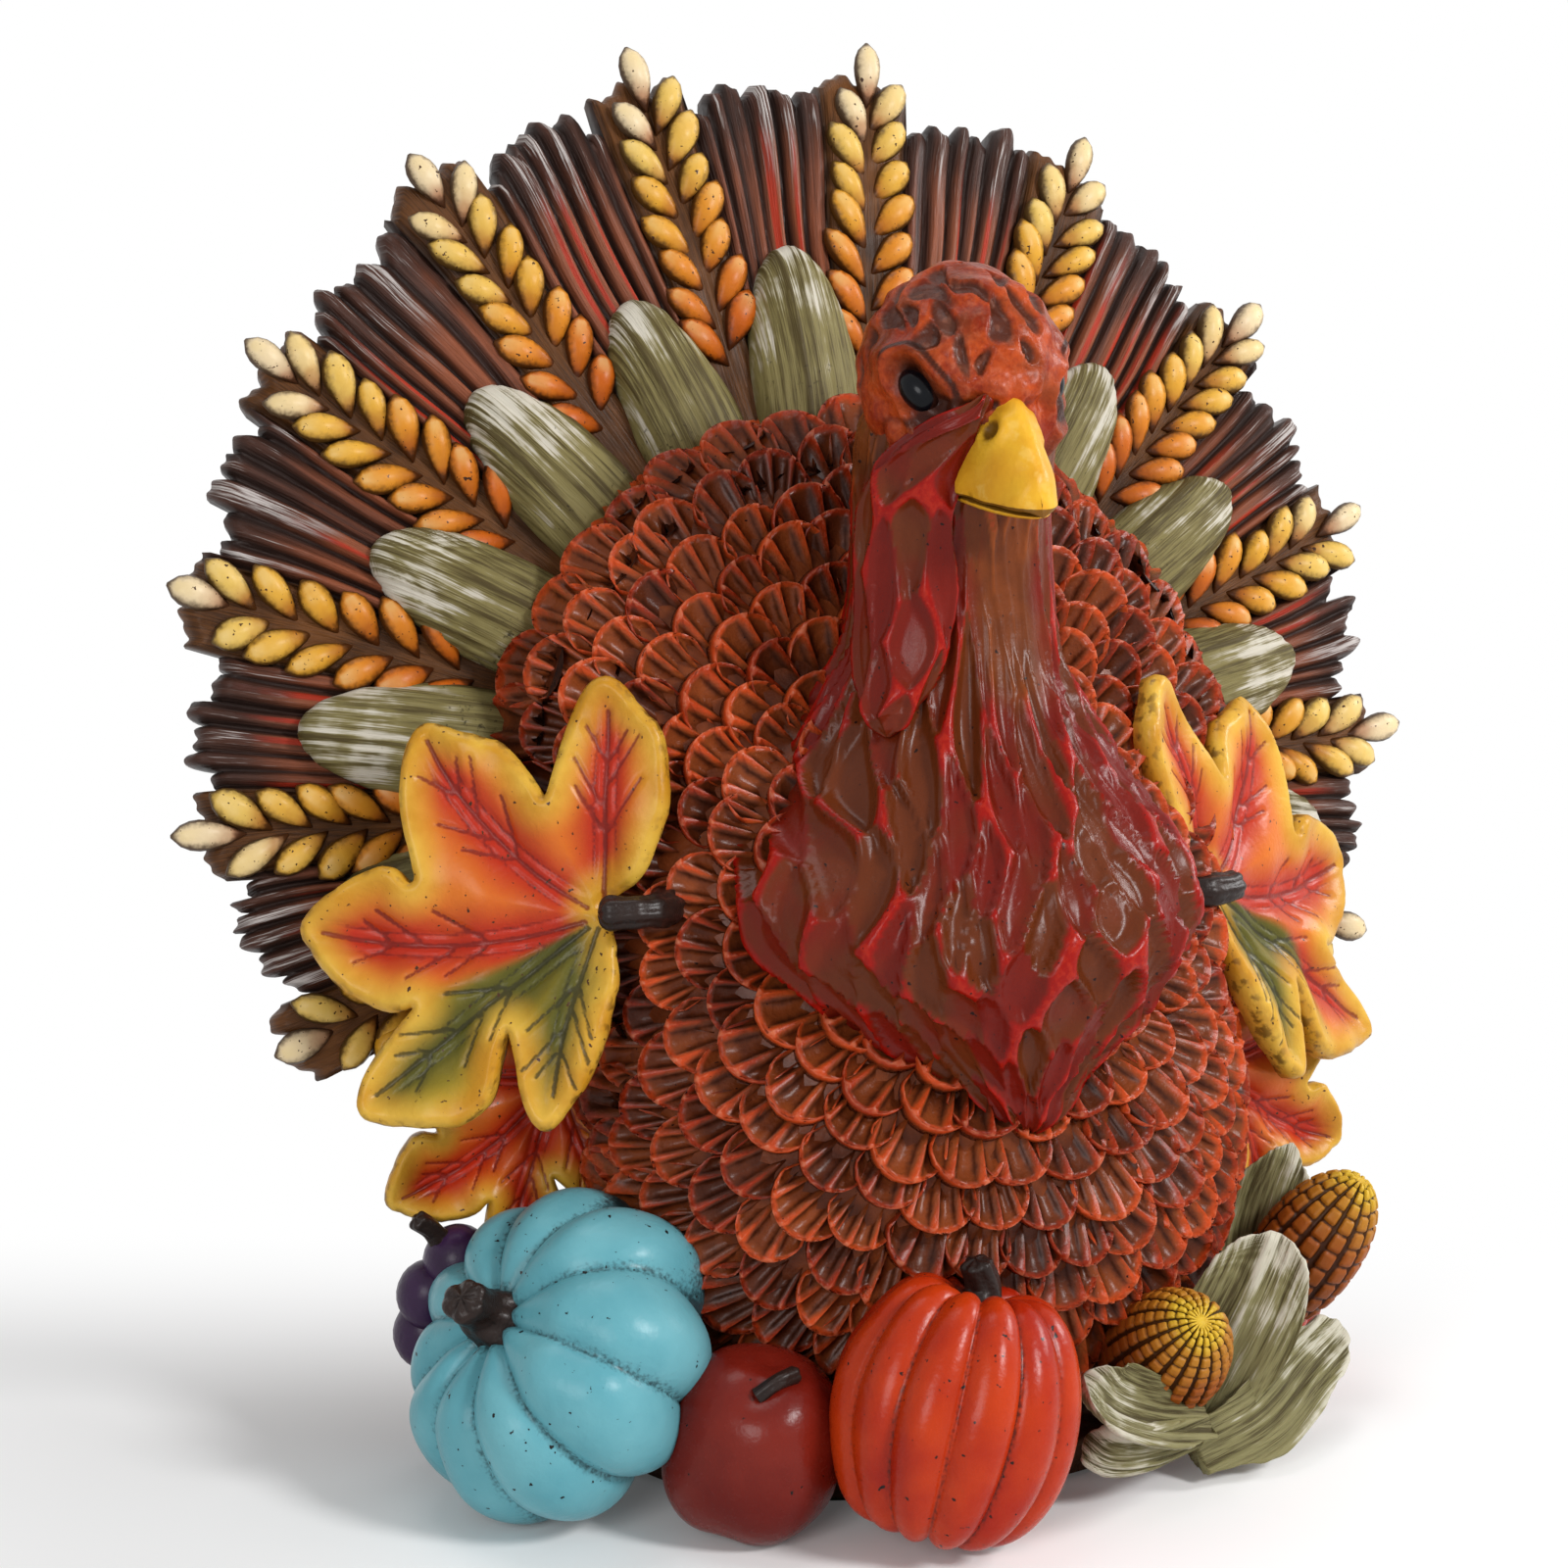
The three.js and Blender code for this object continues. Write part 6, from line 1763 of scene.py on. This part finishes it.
def make_apple():
    rows, columns = 70, 90
    points, rise, angles, _ = globe(
        APPLE_MIDDLE, APPLE_AXIS, APPLE_RADIUS, APPLE_HALF, rows, columns, APPLE_SUNK)
    foot = APPLE_FOOT * smooth(0.2, -0.9, rise)[:, None, None]
    points[..., :2] += (points[..., :2] - APPLE_MIDDLE[:2]) * foot
    lobes = 0.5 * np.sin(angles * 5)[None, :] * np.clip(-rise, 0, 1)[:, None]
    stem = np.linalg.norm(points - APPLE_MIDDLE - APPLE_STEM[0], axis=-1)
    height = lobes + 0.35 * wobble(points, 20, 12) - 1.6 * bell(stem, 3.2)
    points = stand(raised(points, height))
    # Crease: painted shade in the hollow round the stem
    return closed_grid("apple", points, {"crease": bell(stem, 4.0), "grime": contact_shade_on(points)})


def make_cob(name, middle, axis, radius, half, grain_columns, grain_rows, seed):
    """A cob with columns of grains that run to its tip."""
    rows, per_column = 150, 14
    columns = grain_columns * per_column
    right, ahead, up = axes_along(axis, np.array([0.0, 0.2, 1]))
    shares = np.sin(pole_angles(rows))
    ring = radius * np.maximum(1 - shares ** 2, 0.0004) ** 0.5
    middles = middle + up * (shares * half)[:, None]
    points = rings(middles, right, ahead, ring, ring, ring_angles(columns))
    beside = np.abs(np.arange(columns) % per_column / per_column - 0.5)[None, :] * 2
    number = np.arange(columns) // per_column
    draw = np.random.default_rng(seed)
    offset = draw.random(grain_columns)[number][None, :]
    walk = np.arcsin(shares)[:, None] / math.pi * grain_rows + offset
    over = np.abs(walk - np.floor(walk) - 0.5) * 2
    gap = 1 - smooth(0.5, 0.9, beside)
    line = 1 - 0.7 * smooth(0.6, 0.96, over)
    fade = smooth(0.0, 0.25, ring / radius)[:, None]
    relief = gap * line * fade + (1 - fade) * 0.8
    height = 0.9 * (relief - 0.5) * fade
    values = {"relief": relief, "reach": np.broadcast_to(0.5 + shares[:, None] / 2, relief.shape)}
    return closed_grid(name, stand(raised(points, height)), values)


def make_blade(name, spine, widths, facing, cup, seed):
    """A husk leaf along a spine of points, cupped towards its facing, with grooves along it."""
    rows, columns = 80, 96
    shares = np.linspace(0, 1, rows)
    keys = np.linspace(0, 1, len(spine))
    middles = through(keys, spine, shares)
    tip = np.sqrt(np.maximum(1 - ((shares - 0.84) / 0.16).clip(0, 1) ** 2, 0.002))
    width = np.maximum(through(keys, widths, shares)[:, 0], 0.05) * tip
    axis = unit(np.gradient(middles, axis=0))
    facing = np.asarray(facing, float)
    ahead = unit(facing - axis * (axis @ facing)[:, None])
    right = np.cross(ahead, axis)
    angles = ring_angles(columns)
    across = np.cos(angles)[None, :]
    depth = BLADE_THICKNESS * np.minimum(1, width / 4)
    points = rings(middles, right, ahead, width, depth / 2, angles)
    lift = cup * np.minimum(1, width / 6)[:, None] * np.abs(across) ** 2.2
    points = points + ahead[:, None, :] * lift[..., None]
    grid = across * (width / width.max())[:, None]
    reach = np.broadcast_to(shares[:, None], (rows, columns))
    streaks = np.stack([grid * 12, reach * 3], -1)
    ribbed, fine = husk_fibres(streaks, 2.2, seed)
    height = 0.7 * (ribbed - 0.5) + 0.3 * (fine - 0.5)
    edge = smooth(0.8, 1.0, np.abs(across))
    relief = np.clip(0.5 * ribbed + 0.4 * fine + 0.35 * edge, 0, 1.1)
    height = height * np.minimum(1, width / 5)[:, None]
    values = {"relief": relief, "reach": reach, "across": grid + seed}
    return closed_grid(name, stand(raised(points, height)), values)


def ball_unit():
    rows, columns = 14, 20
    elevation = pole_angles(rows)
    middles = np.stack([elevation * 0, elevation * 0, np.sin(elevation)], -1)
    ring = np.maximum(np.cos(elevation), 0.001)
    points = rings(middles, X_AXIS, Y_AXIS, ring, ring, ring_angles(columns))
    return closed_grid("grape", points / MM)


def make_grapes():
    draw = np.random.default_rng(GRAPE_SEED)
    points = []
    for place in GRAPES:
        size = GRAPE_RADIUS * draw.uniform(0.96, 1.04) * MM
        points.append({
            "place": TEAL_MIDDLE + place, "out": Z_AXIS, "along": Y_AXIS,
            "size": (size, size, size * 1.05), "tone": draw.random(), "variant": 0,
        })
    return planted("grape_cluster", points, [ball_unit()], GRAPE)


def make_slab(name, low, high, soft, rough, seed):
    """An oval slab between two levels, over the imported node's own outline box."""
    end_rows, side_rows, columns = 8, 10, 160
    corner, far = span(name)
    middle = (corner + far) / 2
    half = (far - corner) / 2
    levels = np.concatenate([[low] * end_rows, np.linspace(low, high, side_rows), [high] * end_rows])
    spread = np.linspace(0.02, 1 - soft, end_rows)
    shares = np.concatenate([spread, np.ones(side_rows), spread[::-1]])
    middles = np.stack([np.full(len(levels), middle[0]), np.full(len(levels), middle[1]), levels], -1)
    points = rings(middles, X_AXIS, Y_AXIS, half[0] * shares, half[1] * shares, ring_angles(columns))
    rim = smooth(0.5, 1.0, shares)[:, None]
    drawn_in = rim * rough * (0.5 + 0.5 * wobble(points, 18, seed))
    points[..., :2] -= (points[..., :2] - middle[:2]) * drawn_in[..., None]
    return closed_grid(name, points)


# Stage
def seen_directly(tree):
    """1 for what the camera sees, also in a reflection or through glass."""
    path = tree.nodes.new("ShaderNodeLightPath")
    rays = [Shade(tree, path.outputs[f"Is {kind} Ray"]) for kind in ("Camera", "Glossy", "Transmission")]
    return rays[0].most(rays[1]).most(rays[2])


def make_stage():
    """A pale floor that fades into a white surround."""
    corners = np.array([(-1, -1, 0), (1, -1, 0), (1, 1, 0), (-1, 1, 0)]) * FLOOR_HALF
    floor = write_mesh("floor", corners, [[0, 1, 2, 3]])
    paint = bpy.data.materials.new("white_floor")
    paint.use_nodes = True
    tree = paint.node_tree
    tree.nodes.clear()
    s = Shade(tree)
    place = s.node("ShaderNodeTexCoord", output="Object")
    away = s.node("ShaderNodeVectorMath", {"operation": "LENGTH"}, {0: place}, "Value")
    matt = s.node("ShaderNodeBsdfDiffuse", inputs={"Color": colour("f4f4f4")})
    white = s.node("ShaderNodeEmission", inputs={"Color": (1, 1, 1, 1), "Strength": 1.0})
    seen = seen_directly(tree)
    along = {0: place, 1: FLOOR_BACK}
    behind = s.node("ShaderNodeVectorMath", {"operation": "DOT_PRODUCT"}, along, "Value")
    faded = away.step(*FLOOR_FADE).most(behind.step(*FLOOR_BACK_FADE))
    share = (FLOOR_GLOW + faded * (1 - FLOOR_GLOW)) * seen
    mix = s.node("ShaderNodeMixShader", inputs={0: share, 1: matt, 2: white})
    s.node("ShaderNodeOutputMaterial", inputs={"Surface": mix})
    floor.data.materials.append(paint)


def make_world():
    world = bpy.data.worlds.new("studio")
    bpy.context.scene.world = world
    world.use_nodes = True
    tree = world.node_tree
    tree.nodes.clear()
    s = Shade(tree)
    soft = s.node("ShaderNodeBackground", inputs={"Color": (1, 1, 1, 1), "Strength": SURROUND_LIGHT})
    white = s.node("ShaderNodeBackground", inputs={"Color": (1, 1, 1, 1), "Strength": 1.0})
    mix = s.node("ShaderNodeMixShader", inputs={0: seen_directly(tree), 1: soft, 2: white})
    s.node("ShaderNodeOutputWorld", inputs={"Surface": mix})


def make_lamp(name, place, size, power):
    lamp = bpy.data.lights.new(name, "AREA")
    lamp.shape = "DISK"
    lamp.size = size * MM
    lamp.energy = power
    holder = bpy.data.objects.new(name, lamp)
    holder.location = Vector(place) * MM
    target = Vector(LAMP_TARGET) * MM
    holder.rotation_euler = (target - holder.location).to_track_quat("-Z", "Y").to_euler()
    bpy.context.scene.collection.objects.link(holder)


def make_camera():
    azimuth = math.radians(CAMERA_AZIMUTH)
    elevation = math.radians(CAMERA_ELEVATION)
    level = math.cos(elevation)
    back = Vector((math.sin(azimuth) * level, -math.cos(azimuth) * level, math.sin(elevation)))
    right = Vector((math.cos(azimuth), math.sin(azimuth), 0))
    up = back.cross(right)
    target = Vector(FAN_CENTRE) + right * CAMERA_SIDE + up * CAMERA_RISE
    lens = bpy.data.cameras.new("camera")
    lens.sensor_width = CAMERA_SENSOR
    lens.lens = CAMERA_LENS
    camera = bpy.data.objects.new("camera", lens)
    camera.location = (target + back * CAMERA_DISTANCE) * MM
    camera.rotation_euler = (-back).to_track_quat("-Z", "Y").to_euler()
    bpy.context.scene.collection.objects.link(camera)
    bpy.context.scene.camera = camera


# Stage, lamps and camera
make_camera()
make_stage()
make_world()
for name, (place, size, power) in LAMPS.items():
    make_lamp(name, place, size, power)
bpy.context.scene.view_settings.view_transform = "Standard"

# Bird
dress(make_body(), FEATHER, "feather", "body_shell")
dress(make_feathers(), FEATHER, "feather")
dress(make_bib(), SKIN, "breast", "neck_and_breast")
dress(make_snood(), SKIN, "breast", "snood")
dress(make_head(), HEAD, "head", "head")
for name, side in (("eye_left", -1), ("eye_right", 1)):
    dress(make_eye(side, name), EYE, "eye", name)
dress(make_upper_beak(), BEAK, "beak", "beak_upper")
dress(make_lower_beak(), BEAK, "beak", "beak_lower")
dress(make_tail(), BARK, "bark", "tail_fan")
for number in range(EAR_COUNT):
    dress(make_ear(number), WHEAT, "wheat", f"wheat_ear_{number + 1:02d}")
for number in range(HUSK_COUNT):
    dress(make_husk(number), HUSK, "husk", f"husk_feather_{number + 1:02d}")

# Leaves
for hand, wing in WINGS.items():
    name = f"leaf_wing_{hand}"
    dress(make_leaf(name, **WING, **wing), LEAF, "leaf", name)
    name = f"leaf_stem_{hand}"
    path = (wing["origin"] + WING_STEM) * (wing["side"], 1, 1)
    stalk = make_stalk(name, path, WING_STEM_RADII, WING_STEM_GROOVES, WING_STEM_SEED)
    dress(stalk, STEM, "stem", name)
    name = f"lower_leaf_{hand}"
    dress(make_leaf(name, **LOW_LEAF, **LOW_LEAVES[hand]), LEAF, "leaf", name)

# Harvest
PUMPKIN_FINISHES = {
    "teal_pumpkin": (TEAL, "teal"), "orange_pumpkin": (ORANGE, "orange"), "rear_pumpkin": (ORANGE, "orange"),
}
for name, (paint, slot) in PUMPKIN_FINISHES.items():
    dress(make_pumpkin(name, **PUMPKINS[name]), paint, slot, name)
dress(make_apple(), APPLE, "apple", "apple")
for fruit, stem in PUMPKIN_STEMS.items():
    name = f"{fruit}_stem"
    pumpkin = PUMPKINS[fruit]
    path = stem_path(pumpkin["middle"], pumpkin["axis"], stem["rise"], stem["lean"], stem["length"])
    stalk = make_stalk(name, path, stem["radii"], PUMPKIN_STEM_GROOVES, stem["seed"])
    dress(stalk, STEM, "stem", name)
path = APPLE_MIDDLE + APPLE_STEM
stalk = make_stalk("apple_stem", path, APPLE_STEM_RADII, THIN_STEM_GROOVES, APPLE_STEM_SEED)
dress(stalk, STEM, "stem", "apple_stem")
for name, cob in COBS.items():
    dress(make_cob(name, **cob), CORN, "corn", name)
for number, blade in enumerate(CORN_BLADES):
    name = f"corn_husk_{number + 1:02d}"
    dress(make_blade(name, seed=BLADE_SEED + number, **blade), CORN_HUSK, "husk", name)
dress(make_grapes(), GRAPE, "grape", "grape_cluster")
path = TEAL_MIDDLE + GRAPES[0] + GRAPE_STEM
stalk = make_stalk("grape_stem", path, GRAPE_STEM_RADII, THIN_STEM_GROOVES, GRAPE_STEM_SEED)
dress(stalk, STEM, "stem", "grape_stem")
for name, paint, slot in (("base_plate", GROUND, "ground"), ("felt_pad", FELT, "felt")):
    dress(make_slab(name, **SLABS[name]), paint, slot, name)

bpy.context.view_layer.update()
